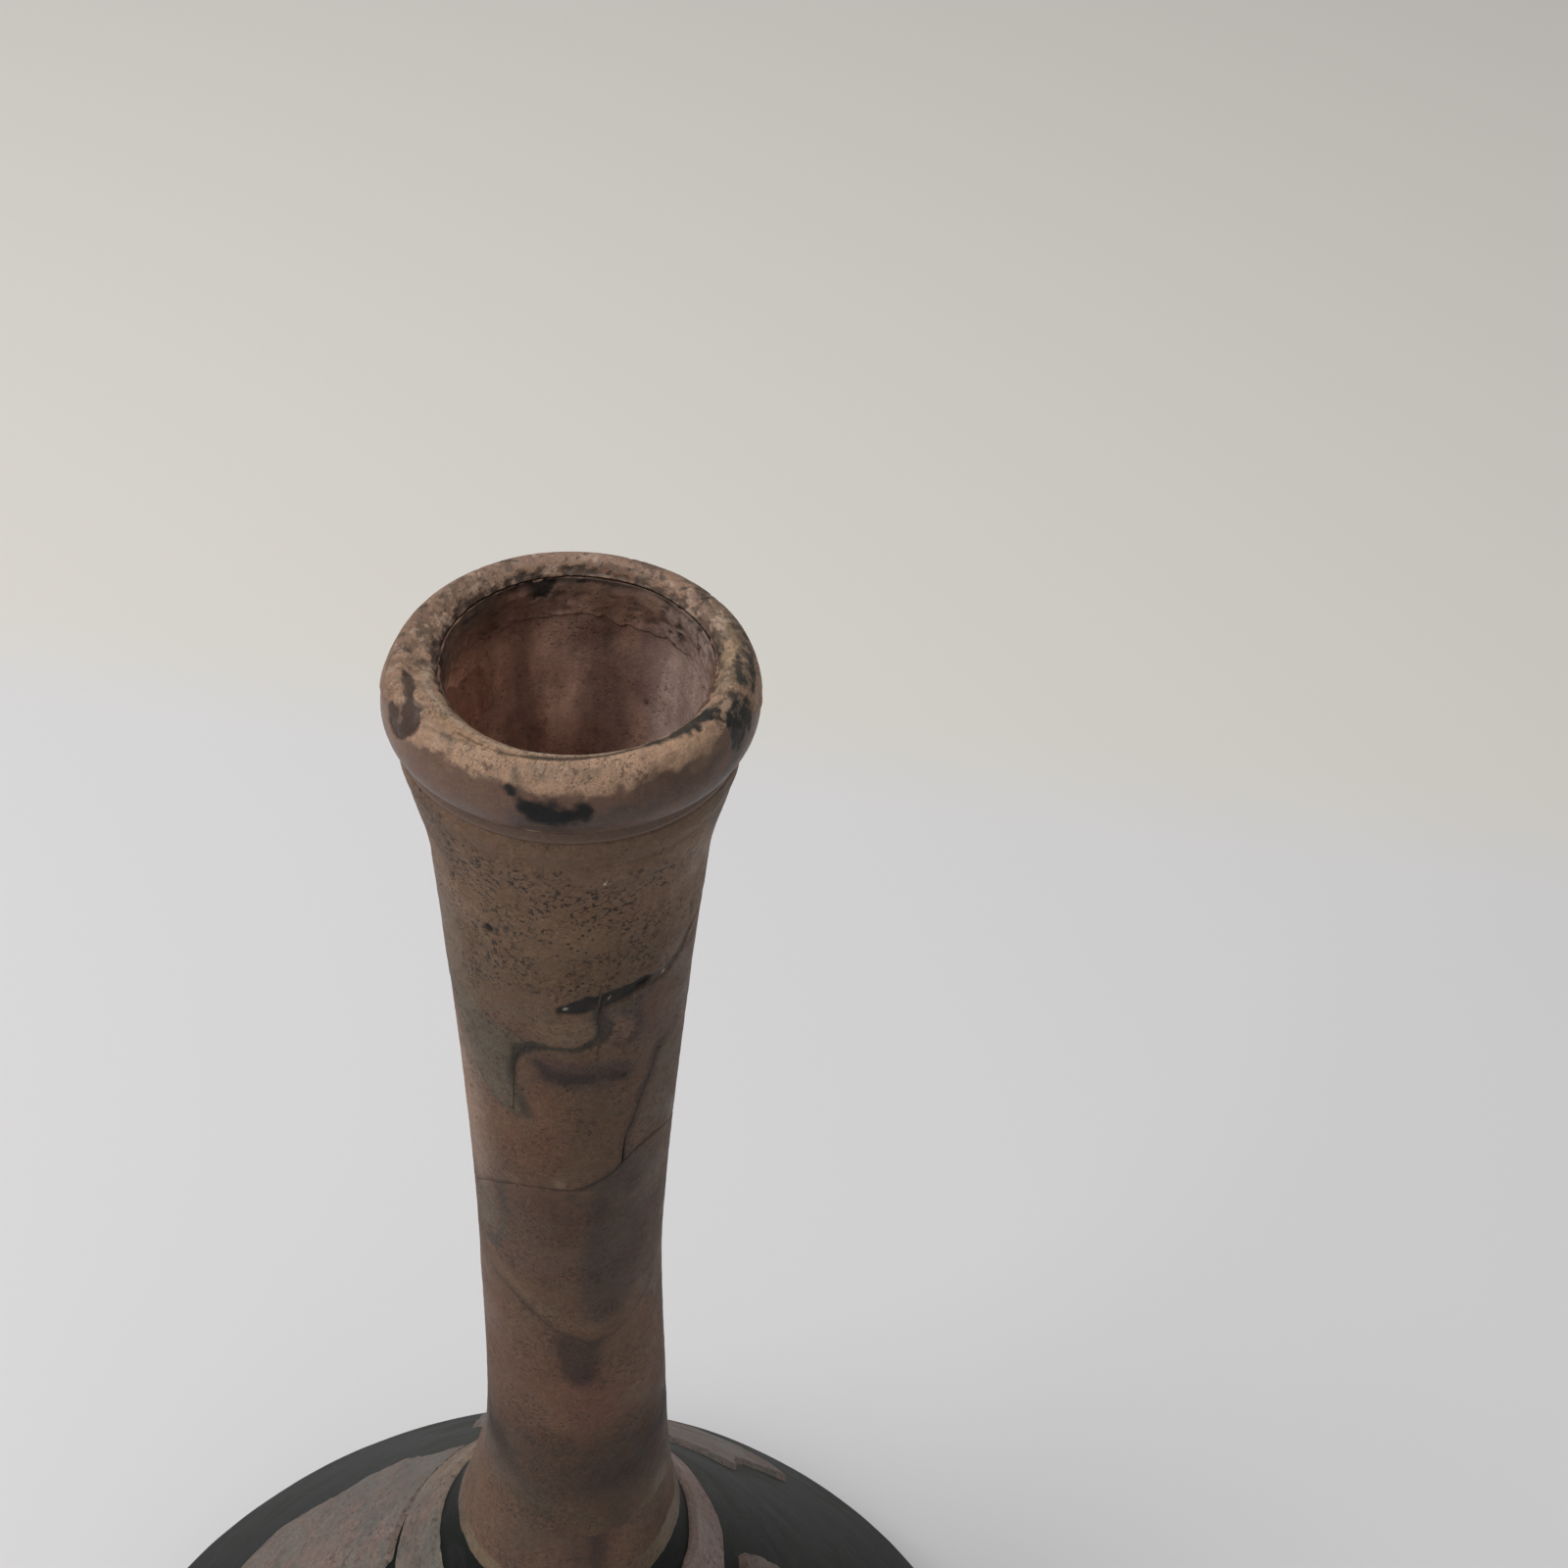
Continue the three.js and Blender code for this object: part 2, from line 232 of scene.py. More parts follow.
def linear(colour):
    c = np.array(colour, float) / 255
    return np.where(c > 0.04045, ((c + 0.055) / 1.055) ** 2.4, c / 12.92)


# A mark: a closed area, a stroke of some width or a round dot, with its colour, its strength, how soft
# and how ragged its edge is, and any relief, gloss or grain.
def newMark(kind, shape, colour=None, strength=1, soft=0.15, rag=0.3, **more):
    made = {kind: shape, "strength": strength, "soft": soft, "rag": rag, **more}
    if colour:
        made["colour"] = colour
    return made


def area(outline, *look, **more):
    return newMark("patch", outline, *look, **more)


def stroke(points, width, *look, **more):
    return newMark("line", points, *look, width=width, **more)


def dot(place, *look, **more):
    return newMark("spot", place, *look, **more)


# Lays a list of marks over a surface's colour, relief, gloss and grain, one after another.
def layMarks(surface, wall, marks):
    for mark in marks:
        m = cover(wall, mark)
        if "colour" in mark:
            surface["paint"] += (linear(mark["colour"]) * gain - surface["paint"]) * m[..., None]
        surface["relief"] += mark.get("relief", 0) * m
        for name in ("gloss", "grain"):
            if name in mark:
                surface[name] += (mark[name] - surface[name]) * m


# a surface's starting values: colours between height stations, no relief, dull and grained
def blankSurface(wall, stations, along="up", gloss=0.0, grain=1.0):
    at = np.array([s[0] for s in stations], float)
    colours = np.array([linear(s[1]) for s in stations]) * gain
    x = wall[along]
    paint = np.stack([np.interp(x, at, colours[:, i]) for i in range(3)], -1)
    return {"paint": paint, "relief": np.zeros(x.shape), "gloss": np.full(x.shape, gloss),
            "grain": np.full(x.shape, grain)}


gain = 1.1  # how much brighter a finish is than it looks in the soft light


# ---------- meshes ----------
# Quads between neighbouring rows and columns of a grid of vertex numbers, wound so that a grid
# whose rows climb and whose columns run to the right faces outwards.
def gridQuads(numbers):
    a, b, c, d = numbers[:-1, :-1], numbers[:-1, 1:], numbers[1:, 1:], numbers[1:, :-1]
    return np.stack([a, b, c, d], -1).reshape(-1, 4)


def buildMesh(name, points, quads, fields, polygons=()):
    mesh = bpy.data.meshes.new(name)
    corners = np.concatenate([np.asarray(face).ravel() for face in (quads, *polygons)]).astype(np.int32)
    sizes = [4] * len(quads) + [len(p) for p in polygons]
    starts = np.concatenate([[0], np.cumsum(sizes)[:-1]]).astype(np.int32)
    mesh.vertices.add(len(points))
    mesh.vertices.foreach_set("co", (points * mm).astype(np.float32).ravel())
    mesh.loops.add(len(corners))
    mesh.loops.foreach_set("vertex_index", corners)
    mesh.polygons.add(len(sizes))
    mesh.polygons.foreach_set("loop_start", starts)
    mesh.update(calc_edges=True)
    for key, values in fields.items():
        if values.ndim == 2:
            values = np.hstack([values, np.ones((len(values), 1))])
        kind = "FLOAT_COLOR" if values.ndim == 2 else "FLOAT"
        attribute = mesh.attributes.new(key, kind, "POINT")
        slot = "color" if kind == "FLOAT_COLOR" else "value"
        attribute.data.foreach_set(slot, values.astype(np.float32).ravel())
    mesh.validate()
    mesh.shade_smooth()
    return mesh


def addPiece(name, mesh, material, nodes):
    piece = bpy.data.objects.new(name, mesh)
    bpy.context.scene.collection.objects.link(piece)
    mesh.materials.append(material)
    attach(piece, "root")
    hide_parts(*nodes)
    print("made", name, len(mesh.polygons), "faces")
    return piece


# A closed skin from rows of points that run round a section: the face rows first, then the hidden
# rows back to the start. Its columns go all the way round, or end in a cap on each side.
def closedSkin(name, rows, surface, faceRows, ring=True):
    count, columns = rows.shape[:2]
    numbers = np.arange(count * columns).reshape(count, columns)
    numbers = np.vstack([numbers, numbers[:1]])
    caps = []
    if ring:
        numbers = np.hstack([numbers, numbers[:, :1]])
    else:
        caps = [numbers[:-1, 0], numbers[:-1, -1][::-1]]
    fields = {}
    for key in ("paint", "gloss", "grain"):
        face = surface[key]
        hidden = np.repeat(face[-1:], count - faceRows, 0)
        fields[key] = np.concatenate([face, hidden]).reshape((count * columns,) + face.shape[2:])
    return buildMesh(name, rows.reshape(-1, 3), gridQuads(numbers), fields, caps)


# ---------- shader expressions ----------
class Wire:
    # One output of a shader node. Sums, differences and products of wires and numbers add Math nodes.
    def __init__(self, tree, socket=None):
        self.tree, self.socket = tree, socket

    # Adds a node of a kind with its settings, then fills its sockets with numbers or wires.
    def node(self, kind, settings=None, inputs=None, output=0):
        made = self.tree.nodes.new(kind)
        for key, value in (settings or {}).items():
            setattr(made, key, value)
        for key, value in (inputs or {}).items():
            if isinstance(value, Wire):
                self.tree.links.new(value.socket, made.inputs[key])
            else:
                made.inputs[key].default_value = value
        return Wire(self.tree, made.outputs[output])

    def math(self, operation, *values):
        return self.node("ShaderNodeMath", {"operation": operation}, dict(enumerate(values)))

    def __add__(self, other):
        return self.math("ADD", self, other)

    def __sub__(self, other):
        return self.math("SUBTRACT", self, other)

    def __rsub__(self, other):
        return self.math("SUBTRACT", other, self)

    def __mul__(self, other):
        return self.math("MULTIPLY", self, other)

    __radd__, __rmul__ = __add__, __mul__

    def step(self, low, high):
        return self.node("ShaderNodeMapRange", {"interpolation_type": "SMOOTHSTEP"},
                         {"Value": self, "From Min": low, "From Max": high})

    def mix(self, a, b, blend="MIX"):
        sockets = {0: self, 6: a, 7: b}
        return self.node("ShaderNodeMix", {"data_type": "RGBA", "blend_type": blend}, sockets, 2)


def shade(colour, scale=1.0):
    return (*(linear(colour) * gain * scale), 1)


# Object coordinates in millimetres, stretched by a factor on each axis.
def coordinates(wire, stretch=(1, 1, 1)):
    place = wire.node("ShaderNodeTexCoord", output=3)
    return place.node("ShaderNodeMapping", inputs={0: place, "Scale": tuple(s / mm for s in stretch)})


def grains(wire, at, size, detail=3.0, rough=0.55, twist=0.0):
    return wire.node("ShaderNodeTexNoise", inputs={
        "Vector": at, "Scale": 1 / size, "Detail": detail, "Roughness": rough, "Distortion": twist})


def cells(wire, at, size, feature="F1"):
    return wire.node("ShaderNodeTexVoronoi", {"feature": feature}, {"Vector": at, "Scale": 1 / size})


def newMaterial(name):
    material = bpy.data.materials.new(name)
    material.use_nodes = True
    material.node_tree.nodes.clear()
    return material, Wire(material.node_tree)


def attribute(wire, name, output):
    return wire.node("ShaderNodeAttribute", {"attribute_name": name}, output=output)


# Weathered crust: the painted colour, warmer and cooler in blotches, with light and dark grains,
# pits and faint upright streaks. "gloss" makes it smooth, "grain" strengthens the pits.
def crustMaterial(name, look):
    material, wire = newMaterial(name)
    at = coordinates(wire)
    tall = coordinates(wire, (1, 1, 0.22))
    paint = attribute(wire, "paint", 0)
    gloss, grain = attribute(wire, "gloss", 2), attribute(wire, "grain", 2)
    blotch = grains(wire, at, look["blotch"], 4, 0.6, 0.4).step(0.34, 0.66)
    patchy = grains(wire, at, look["blotch"] * 0.36, 5, 0.62, 0.8).step(0.36, 0.68)
    streak = grains(wire, tall, look["streak"], 3, 0.5)
    fine = grains(wire, at, look["fine"], 2, 0.7)
    dust = grains(wire, at, look["fine"] * 0.42, 1, 0.5)
    pits = 1 - cells(wire, at, look["pit"]).step(0.12, 0.34)
    pitField = grains(wire, at, look["pit"] * 6, 2, 0.5).step(0.46, 0.66)
    pitMask = pits * pitField * grain
    speckField = grains(wire, at, look["speck"] * 11, 2, 0.6).step(0.36, 0.62)
    specks = grains(wire, at, look["speck"], 3, 0.72, 0.6).step(0.52, 0.64) * speckField * grain
    flakes = grains(wire, at, look["blotch"] * 0.12, 3, 0.7, 1.2).step(0.4, 0.66)

    # bare black glass takes none of the crust's tints
    crusted = wire.node("ShaderNodeVectorMath", {"operation": "LENGTH"}, {0: paint}, 1).step(0.015, 0.09)
    colour = (blotch * crusted * look["blotchStrength"]).mix(paint, shade(look["cool"]))
    colour = (patchy * crusted * look["patchyStrength"]).mix(colour, shade(look["warm"]))
    lightness = (fine - 0.5) * look["fineStrength"] + (dust - 0.5) * look["fineStrength"] * 0.8 \
        + (streak - 0.5) * look["streakStrength"] + (flakes - 0.5) * look["flakeStrength"] + 1
    grey = wire.node("ShaderNodeCombineColor", inputs={0: lightness, 1: lightness, 2: lightness})
    colour = wire.node("ShaderNodeMix", {"data_type": "RGBA", "blend_type": "MULTIPLY"},
                       {0: 1.0, 6: colour, 7: grey}, 2)
    colour = (pitMask * look["pitStrength"]).mix(colour, shade(look["pitColour"]))
    colour = (specks * look["speckStrength"]).mix(colour, shade(look["pitColour"], 0.8))

    height = fine * 0.5 + dust * 0.25 + patchy * 0.35 + flakes * 0.3 - pitMask * 1.2 - specks * 0.8
    height = height * (1 - gloss * 0.75)
    bump = wire.node("ShaderNodeBump", inputs={
        "Strength": look["bump"], "Distance": look["bumpDepth"] * mm, "Height": height})
    roughness = (fine - 0.5) * 0.18 + (patchy - 0.5) * 0.1 + look["rough"] - gloss * look["glossy"]
    coat = gloss * look["coat"]
    shader = wire.node("ShaderNodeBsdfPrincipled", inputs={
        "Base Color": colour, "Roughness": roughness, "IOR": 1.5, "Coat Weight": coat,
        "Specular IOR Level": look["shine"], "Coat Roughness": 0.3, "Normal": bump})
    out = material.node_tree.nodes.new("ShaderNodeOutputMaterial")
    material.node_tree.links.new(shader.socket, out.inputs[0])
    return material


# Dark glass gone dull in places: green-black, with a thin grey film, scratches and specks of soil.
def glassMaterial(name, look):
    material, wire = newMaterial(name)
    at = coordinates(wire)
    film = grains(wire, at, look["film"], 5, 0.62, 0.5).step(0.44, 0.74)
    thin = grains(wire, at, look["film"] * 0.3, 4, 0.65, 1.0).step(0.42, 0.75)
    soil = grains(wire, at, 0.6, 3, 0.7).step(0.6, 0.74)
    fine = grains(wire, at, 0.35, 2, 0.6)
    rings = grains(wire, coordinates(wire, (0.1, 0.1, 1)), look["rings"], 4, 0.6, 0.3)
    cover = film * 0.65 + thin * film * 0.35
    colour = cover.mix(shade(look["glass"]), shade(look["filmColour"]))
    colour = (thin * look["rainbow"]).mix(colour, shade(look["rainbowColour"]))
    colour = (soil * film * 0.7).mix(colour, shade(look["soil"]))
    height = rings * 0.8 + cover * 0.25 + fine * 0.1
    bump = wire.node("ShaderNodeBump", inputs={"Strength": 0.35, "Distance": 0.12 * mm, "Height": height})
    roughness = cover * 0.3 + (fine - 0.5) * 0.1 + look["rough"]
    shader = wire.node("ShaderNodeBsdfPrincipled", inputs={
        "Base Color": colour, "Roughness": roughness, "IOR": 1.5, "Specular IOR Level": look["shine"],
        "Normal": bump})
    out = material.node_tree.nodes.new("ShaderNodeOutputMaterial")
    material.node_tree.links.new(shader.socket, out.inputs[0])
    return material


# ---------- breaks ----------
# Heights between [azimuth, height] stations round the neck, joined by straight or smooth steps.
def breakLine(stations, soft=True):
    at = np.array([s[0] for s in stations] + [stations[0][0] + 360], float)
    up = np.array([s[1] for s in stations] + [stations[0][1]], float)

    def height(azimuth):
        a = np.where(azimuth < at[0], azimuth + 360, azimuth)
        i = np.clip(np.searchsorted(at, a, "right") - 1, 0, len(at) - 2)
        s = (a - at[i]) / (at[i + 1] - at[i])
        return up[i] + (up[i + 1] - up[i]) * (s * s * (3 - 2 * s) if soft else s)
    return height


upperBreak = breakLine([
    [-170, 93.2], [-120, 92.6], [-86, 91.6], [-70, 93.2], [-54, 94.9], [-33, 96.3], [-16, 96.8], [3, 96.8],
    [13, 97.2], [22, 97.7], [30, 98.5], [38, 99.1], [52, 99.2], [68, 98.4], [90, 97], [140, 95.3]],
    soft=False)
lowerBreak = breakLine([
    [-170, 85.8], [-130, 86.9], [-90, 87.4], [-68, 86.6], [-42, 85.9], [-26, 84.9], [-10, 83.4], [4, 82.5],
    [12, 81.9], [31, 82.5], [49, 84.0], [62, 84.6], [85, 84], [130, 83]], soft=False)
# the crack up from the upper break, then back round the right-hand side and down again
wedgeTop = breakLine([
    [-170, 80], [27, 80], [28.5, 97.8], [29, 100.4], [31.5, 101.3], [34, 101.9], [36.5, 103.2], [39, 104.1],
    [43, 105.3], [46, 106.8], [60, 106.1], [75, 104.3], [100, 103.1], [122, 98.7], [134, 95.2], [136, 80]],
    soft=False)
# the lower edge of the uppermost sheet of crust, which steps down at the front
neckCut = breakLine([
    [-170, 107], [-120, 108], [-90, 110.5], [-64, 108.4], [-58, 106.4], [-51, 104.8], [-45, 103.7],
    [-35, 103.2], [-29.5, 103.3], [-28.6, 106.5], [-26, 107.9], [-22, 108.6], [-17, 108.9], [-8, 108.95],
    [8, 109.15], [12.5, 109.6], [13.2, 111.9], [22, 112.6], [33, 112.95], [56, 113.7], [80, 115.4],
    [120, 113], [150, 109]], soft=False)


def ragged(line, amount=0.12, seed=11):
    # the line with a little noise, from points on the neck at that height
    def height(azimuth):
        z = line(azimuth)
        points = place(azimuth, skinRadius(z), z)
        return z + (fractal(points, 0.9, 3, seed) - 0.5) * 2 * amount
    return height


# ---------- the neck's crust ----------
neckLook = {
    "blotch": 3.4, "blotchStrength": 0.22, "patchyStrength": 0.2, "streak": 0.5, "streakStrength": 0.1,
    "fine": 0.16, "fineStrength": 0.5, "pit": 0.34, "pitStrength": 0.7, "pitColour": (44, 33, 26),
    "cool": (84, 74, 56), "warm": (92, 60, 44), "bump": 0.6, "bumpDepth": 0.07, "rough": 0.66,
    "glossy": 0.22, "coat": 0.12, "shine": 0.28, "speck": 0.3, "speckStrength": 0.6, "flakeStrength": 0.3,
}
neckColours = [
    (56, (76, 62, 48)), (60, (86, 66, 50)), (66, (62, 46, 36)), (69, (42, 30, 23)), (72, (74, 52, 40)),
    (77, (90, 63, 49)), (81, (86, 62, 49)), (84, (88, 66, 52)), (88, (80, 60, 48)), (93, (76, 56, 46)),
    (96, (78, 57, 46)), (98.5, (84, 63, 48)), (102, (86, 63, 48)), (107, (86, 65, 51)), (112, (90, 69, 54)),
    (115.5, (86, 66, 50)), (118, (108, 82, 64)), (122, (104, 80, 63)), (125.5, (94, 72, 57)),
]
greyGreen, darkEdge = (80, 73, 61), (58, 49, 43)
neckMarks = [
    # colour zones
    area([[44, 124], [96, 124], [96, 108], [60, 108], [50, 114]], (128, 106, 86), 0.5, 1.6),
    area([[-96, 108], [-62, 105], [-52, 100], [-60, 95], [-96, 95]], (138, 114, 98), 0.65, 1.6),
    area([[-72, 64], [-44, 62.5], [-40, 58.4], [-68, 58.4]], (62, 49, 39), 0.6, 1.2),
    area([[-22, 61.4], [-8, 62.3], [7, 61.4], [9, 59.4], [-4, 58.6], [-20, 59.4]], (22, 18, 16), 0.75, 0.7,
         0.4),
    area([[-78, 120], [-60, 119], [-48, 112], [-40, 106], [-60, 104], [-84, 108]], (96, 84, 70), 0.45, 1.6),
    area([[-34, 120], [10, 120.5], [24, 117], [8, 113.8], [-26, 113.4], [-44, 116]], (98, 76, 56), 0.5, 1.2,
         grain=3.0),
    area([[-62, 122], [-30, 123], [20, 122.6], [46, 120], [40, 116], [10, 113.2], [-36, 112.8], [-60, 115]],
         strength=0.7, soft=1.0, grain=2.2),
    area([[28, 112.2], [80, 113.6], [84, 108], [58, 107.4], [34, 108.2]], (84, 62, 53), 0.75, 0.5),
    area([[48, 106.5], [90, 104.5], [100, 99], [60, 99.3], [38, 100.2], [41, 104.5]], (88, 70, 57), 0.7,
         0.5),
    area([[-30, 104.5], [-8, 105.6], [2, 102], [-12, 98.5], [-40, 98.5], [-46, 102]], (98, 66, 50), 0.65,
         1.0),
    area([[-2, 105.6], [26, 105], [28, 100], [14, 98], [-2, 98.3]], (82, 63, 47), 0.6, 0.8),
    area([[12, 111.3], [24, 110.9], [30, 109.8], [24, 109.2], [17, 109.5]], (104, 80, 70), 0.75, 0.3,
         relief=-0.04),
    area([[-6, 111.6], [8, 110.9], [12, 110.2], [2, 109.3], [-14, 109.4], [-16, 111]], (104, 84, 66), 0.55,
         0.5),
    # the grey-green flow down the left
    area([[-76, 111.2], [-52, 110.4], [-34, 109.6], [-20, 109.1], [-26, 108.1], [-29, 106.6], [-29, 105.4],
         [-25, 104.2], [-24, 103.2], [-32, 102.9], [-45, 103.8], [-52, 104.9], [-60, 107], [-70, 109]],
         greyGreen, 0.8, 0.22, 0.4, relief=0.05, seed=3),
    area([[-50, 109.6], [-36, 108.6], [-33, 105.6], [-46, 105.6]], (70, 64, 54), 0.5, 0.8),
    stroke([[-64, 108.4], [-58, 106.4], [-51, 104.8], [-45, 103.7], [-35, 103.1], [-26, 102.8]],
           [0.1, 0.2, 0.25, 0.15], (56, 54, 44), 0.75, 0.12),
    stroke([[-23, 103.1], [-25, 104.2], [-29, 105.4], [-29, 106.9], [-26, 108.1], [-19, 108.8]],
           [0.8, 0.5, 0.5, 0.7, 0.9], (46, 43, 35), 0.8, 0.25, 0.5),
    # the edge of the upper sheet, with the dark band where it has lifted
    stroke([[80, 115.4], [70, 114.7], [62, 114.4], [56, 113.6], [45, 112.9], [33, 112.95]],
           [0.25, 0.35, 0.5, 0.65, 0.9], darkEdge, 0.9, 0.14, 0.4, relief=-0.1, ragSize=0.5),
    stroke([[33, 112.95], [22, 112.7], [12, 112.55], [5, 112.3], [-3, 112.0]], [1.0, 1.2, 1.0, 1.0, 0.6],
           (20, 17, 15), 0.98, 0.14, 0.5, relief=-0.14, ragSize=0.5),
    stroke([[33, 112.3], [30, 111.6], [20, 111.9], [10, 111.9]], [0.8, 1.0, 0.7, 0.3], (58, 48, 45), 0.6,
           0.4),
    stroke([[12, 111.6], [14.5, 110.7], [15.5, 110.1], [13, 109.5], [8, 109.15]], [0.7, 1.0, 1.0, 0.8, 0.5],
           (40, 36, 32), 0.9, 0.16, 0.4, relief=-0.08),
    stroke([[8, 109.15], [2, 108.85], [-8, 108.95], [-17, 108.9], [-23, 108.5], [-27, 107.4]],
           [0.55, 0.4, 0.35, 0.7, 0.9, 0.5], (44, 40, 33), 0.88, 0.14, 0.3, relief=-0.06),
    stroke([[14, 111.7], [22, 111.35], [29, 110.9], [33, 110.2], [33, 109.3], [29, 108.8], [20, 108.9]],
           [0.3, 0.45, 0.5, 0.45, 0.3, 0.2], (56, 47, 45), 0.75, 0.25),
    # painted glints: three small white highlight dots along the lifted edge
    dot([-2.5, 112.05, 0.1], (190, 180, 165), soft=0.07, rag=0.1),
    dot([17, 112.6, 0.07], (170, 160, 145), soft=0.07, rag=0.1),
    dot([45, 112.8, 0.08], (180, 170, 155), soft=0.07, rag=0.1),
    # the plum band below it
    area([[-16, 108.1], [0, 108.0], [22, 107.6], [26, 106.3], [4, 106.2], [-12, 106.6]], (68, 50, 46), 0.75,
         0.4),
    area([[-20, 107.9], [0, 107.5], [24, 107.2], [34, 106.4], [26, 105.4], [4, 105.5], [-12, 106.0]],
         (54, 41, 38), 0.55, 0.45, 0.8),
    stroke([[-17, 107.7], [-11, 106.9], [-4, 106.55], [3, 106.4], [13, 106.5], [20, 106.3], [28, 106.05]],
           [0.5, 0.9, 1.0, 0.8, 0.6, 0.45], (40, 29, 28), 0.85, 0.28, 0.7, ragSize=0.5),
    dot([26.5, 106.1, 0.22], (26, 20, 20), soft=0.14),
    dot([-13, 107.0, 0.14], (34, 26, 26), soft=0.12),
    stroke([[46, 106.5], [52, 106.9], [60, 107.8], [66, 108.6]], [0.5, 0.7, 0.4, 0.2], (60, 48, 44), 0.7,
           0.3),
    # the crack's own stain
    stroke([[46, 107], [43, 105.2], [38, 103.8], [36, 103.1], [33, 101.7], [30, 100.9], [29, 99.6],
           [28.5, 98]], [0.8, 0.7, 0.5, 0.5, 0.4, 0.3], (44, 34, 31), 0.75, 0.22, 0.4),
    # round the upper break
    stroke([[-60, 94.6], [-44, 95.7], [-33, 96.4], [-16, 96.8], [3, 96.8], [13, 97.2], [22, 97.7],
           [30, 98.5], [38, 99.1], [52, 99.2], [68, 98.3]],
           [0.05, 0.12, 0.1, 0.12, 0.3, 0.5, 0.4, 0.3, 0.2, 0.2], (40, 32, 28), 0.8, 0.18),
    dot([-6, 97.35, 0.32], (122, 102, 82), 0.75, 0.25),
    dot([-34, 96.8, 0.45], (100, 82, 66), 0.5, 0.3),
    dot([1, 96.2, 0.35], (52, 42, 38), 0.6, 0.25),
    area([[14, 96.8], [28, 98], [46, 98.6], [56, 96.5], [50, 92], [46, 87], [30, 83.5], [8, 84.5],
         [10, 90]], (64, 52, 45), 0.78, 0.7),
    stroke([[20, 97], [15, 95], [14, 92.6], [12, 90], [13, 87]], [1.4, 1.0, 0.9, 1.3, 1.0], (54, 43, 41),
           0.6, 0.6),
    area([[26, 97.6], [40, 98.2], [46, 96.6], [34, 95.2]], (58, 46, 43), 0.7, 0.5),
    area([[50, 98.6], [80, 97], [80, 93], [56, 93.2], [40, 93.8]], (90, 72, 60), 0.6, 0.6),
    stroke([[28, 94.6], [38, 94.9], [52, 95.6], [64, 96]], [0.3, 0.5, 0.4], (96, 80, 66), 0.55, 0.35),
    area([[-24, 95.6], [-6, 95.9], [6, 94], [0, 91.6], [-14, 91.2], [-26, 93]], (70, 49, 38), 0.7, 0.7),
    stroke([[-44, 95.6], [-43, 94.6], [-42, 93.4], [-43, 92], [-47, 90.6], [-52, 89.6]],
           [0.5, 0.65, 0.6, 0.4, 0.45, 0.6], (58, 54, 50), 0.75, 0.3),
    dot([-54, 89.3, 0.6], (56, 52, 48), 0.7, 0.4),
    area([[-66, 94], [-50, 94.2], [-47, 91.4], [-60, 89.6], [-74, 90]], (88, 78, 68), 0.6, 0.6),
    # round the lower break
    stroke([[-60, 88.2], [-46, 87.4], [-34, 86.5], [-26, 85.9], [-14, 84.9], [0, 84.1], [14, 83.5],
           [30, 83.9], [44, 84.9], [58, 86]], [0.5, 0.7, 0.9, 0.9, 0.7, 0.5], (100, 78, 60), 0.5, 0.5),
    stroke([[-60, 86.6], [-42, 86], [-34, 85.5], [-26, 84.9], [-19, 84.2], [-10, 83.4], [4, 82.5],
           [12, 81.9], [21, 82.1], [31, 82.5], [39, 83], [49, 84.1], [62, 84.8]],
           [0.1, 0.3, 0.6, 0.4, 0.4, 0.5, 0.8, 0.9, 0.4, 0.1], (54, 42, 36), 0.75, 0.35),
    area([[-11, 82.9], [-10, 80.2], [-6, 78.6], [4, 77.7], [13, 78.4], [18, 80.4], [20, 82.2], [8, 82.2]],
         (50, 35, 31), 0.85, 0.5),
    area([[22, 82], [60, 83.6], [72, 78], [50, 74], [26, 76]], (104, 78, 60), 0.6, 0.8),
    area([[-60, 84], [-18, 82], [-14, 76], [-40, 74], [-70, 77]], (88, 62, 50), 0.6, 0.8),
    area([[-16, 77.4], [22, 77.2], [30, 73.6], [-20, 73.4]], (96, 66, 54), 0.6, 0.7),
    area([[-50, 71.5], [-8, 72], [10, 70.4], [30, 71.6], [44, 68.6], [0, 67.2], [-40, 67.4]], (64, 49, 40),
         0.7, 0.7),
    area([[-40, 66], [-22, 66.4], [-12, 62.4], [-24, 59.8], [-42, 61.4]], (58, 46, 37), 0.65, 0.9),
    area([[20, 64.6], [34, 63.8], [34, 60], [18, 60.2]], (60, 48, 38), 0.55, 0.8),
    area([[-70, 64], [-44, 63], [-34, 57], [-70, 56]], (98, 86, 66), 0.5, 0.9),
    area([[40, 63], [80, 62], [80, 56], [44, 57]], (96, 84, 64), 0.5, 0.9),
    area([[-12, 58.6], [-4, 59.6], [8, 59.4], [16, 57.4], [14, 55], [-14, 55]], (20, 18, 16), 0.95, 0.5),
    # pits and specks under the collar, and painted shade along the groove
    dot([-35, 116.9, 0.26], (14, 10, 8), soft=0.12, relief=-0.14, rag=0.3),
    dot([-31, 117.1, 0.14], (26, 19, 15), soft=0.1, rag=0.3),
    dot([-26, 117.0, 0.1], (34, 26, 20), soft=0.08),
    dot([12, 121.6, 0.08], (196, 184, 165), soft=0.06, rag=0.1),
    dot([50, 121.3, 0.08], (190, 180, 165), soft=0.06, rag=0.1),
    stroke([[59, 116.6], [61, 115.9], [60, 115.3]], [0.1, 0.3, 0.1], (48, 36, 28), soft=0.1, relief=-0.05),
    # painted shade: a faint dark line along the tooled groove under the ridge
    stroke([[-80, 123.1], [-40, 123.0], [0, 122.9], [40, 123.0], [80, 123.1]], [0.1, 0.16, 0.05, 0.14, 0.1],
           (58, 44, 36), 0.35, 0.12, 0.25),
    area([[52, 124.4], [70, 124.6], [78, 122.4], [62, 121.8]], (60, 50, 40), 0.5, 0.4, 0.8),
    area([[-64, 124.6], [-48, 124.2], [-44, 121], [-52, 119], [-60, 121]], (70, 56, 44), 0.5, 0.5, 0.8,
         grain=2.4),
]


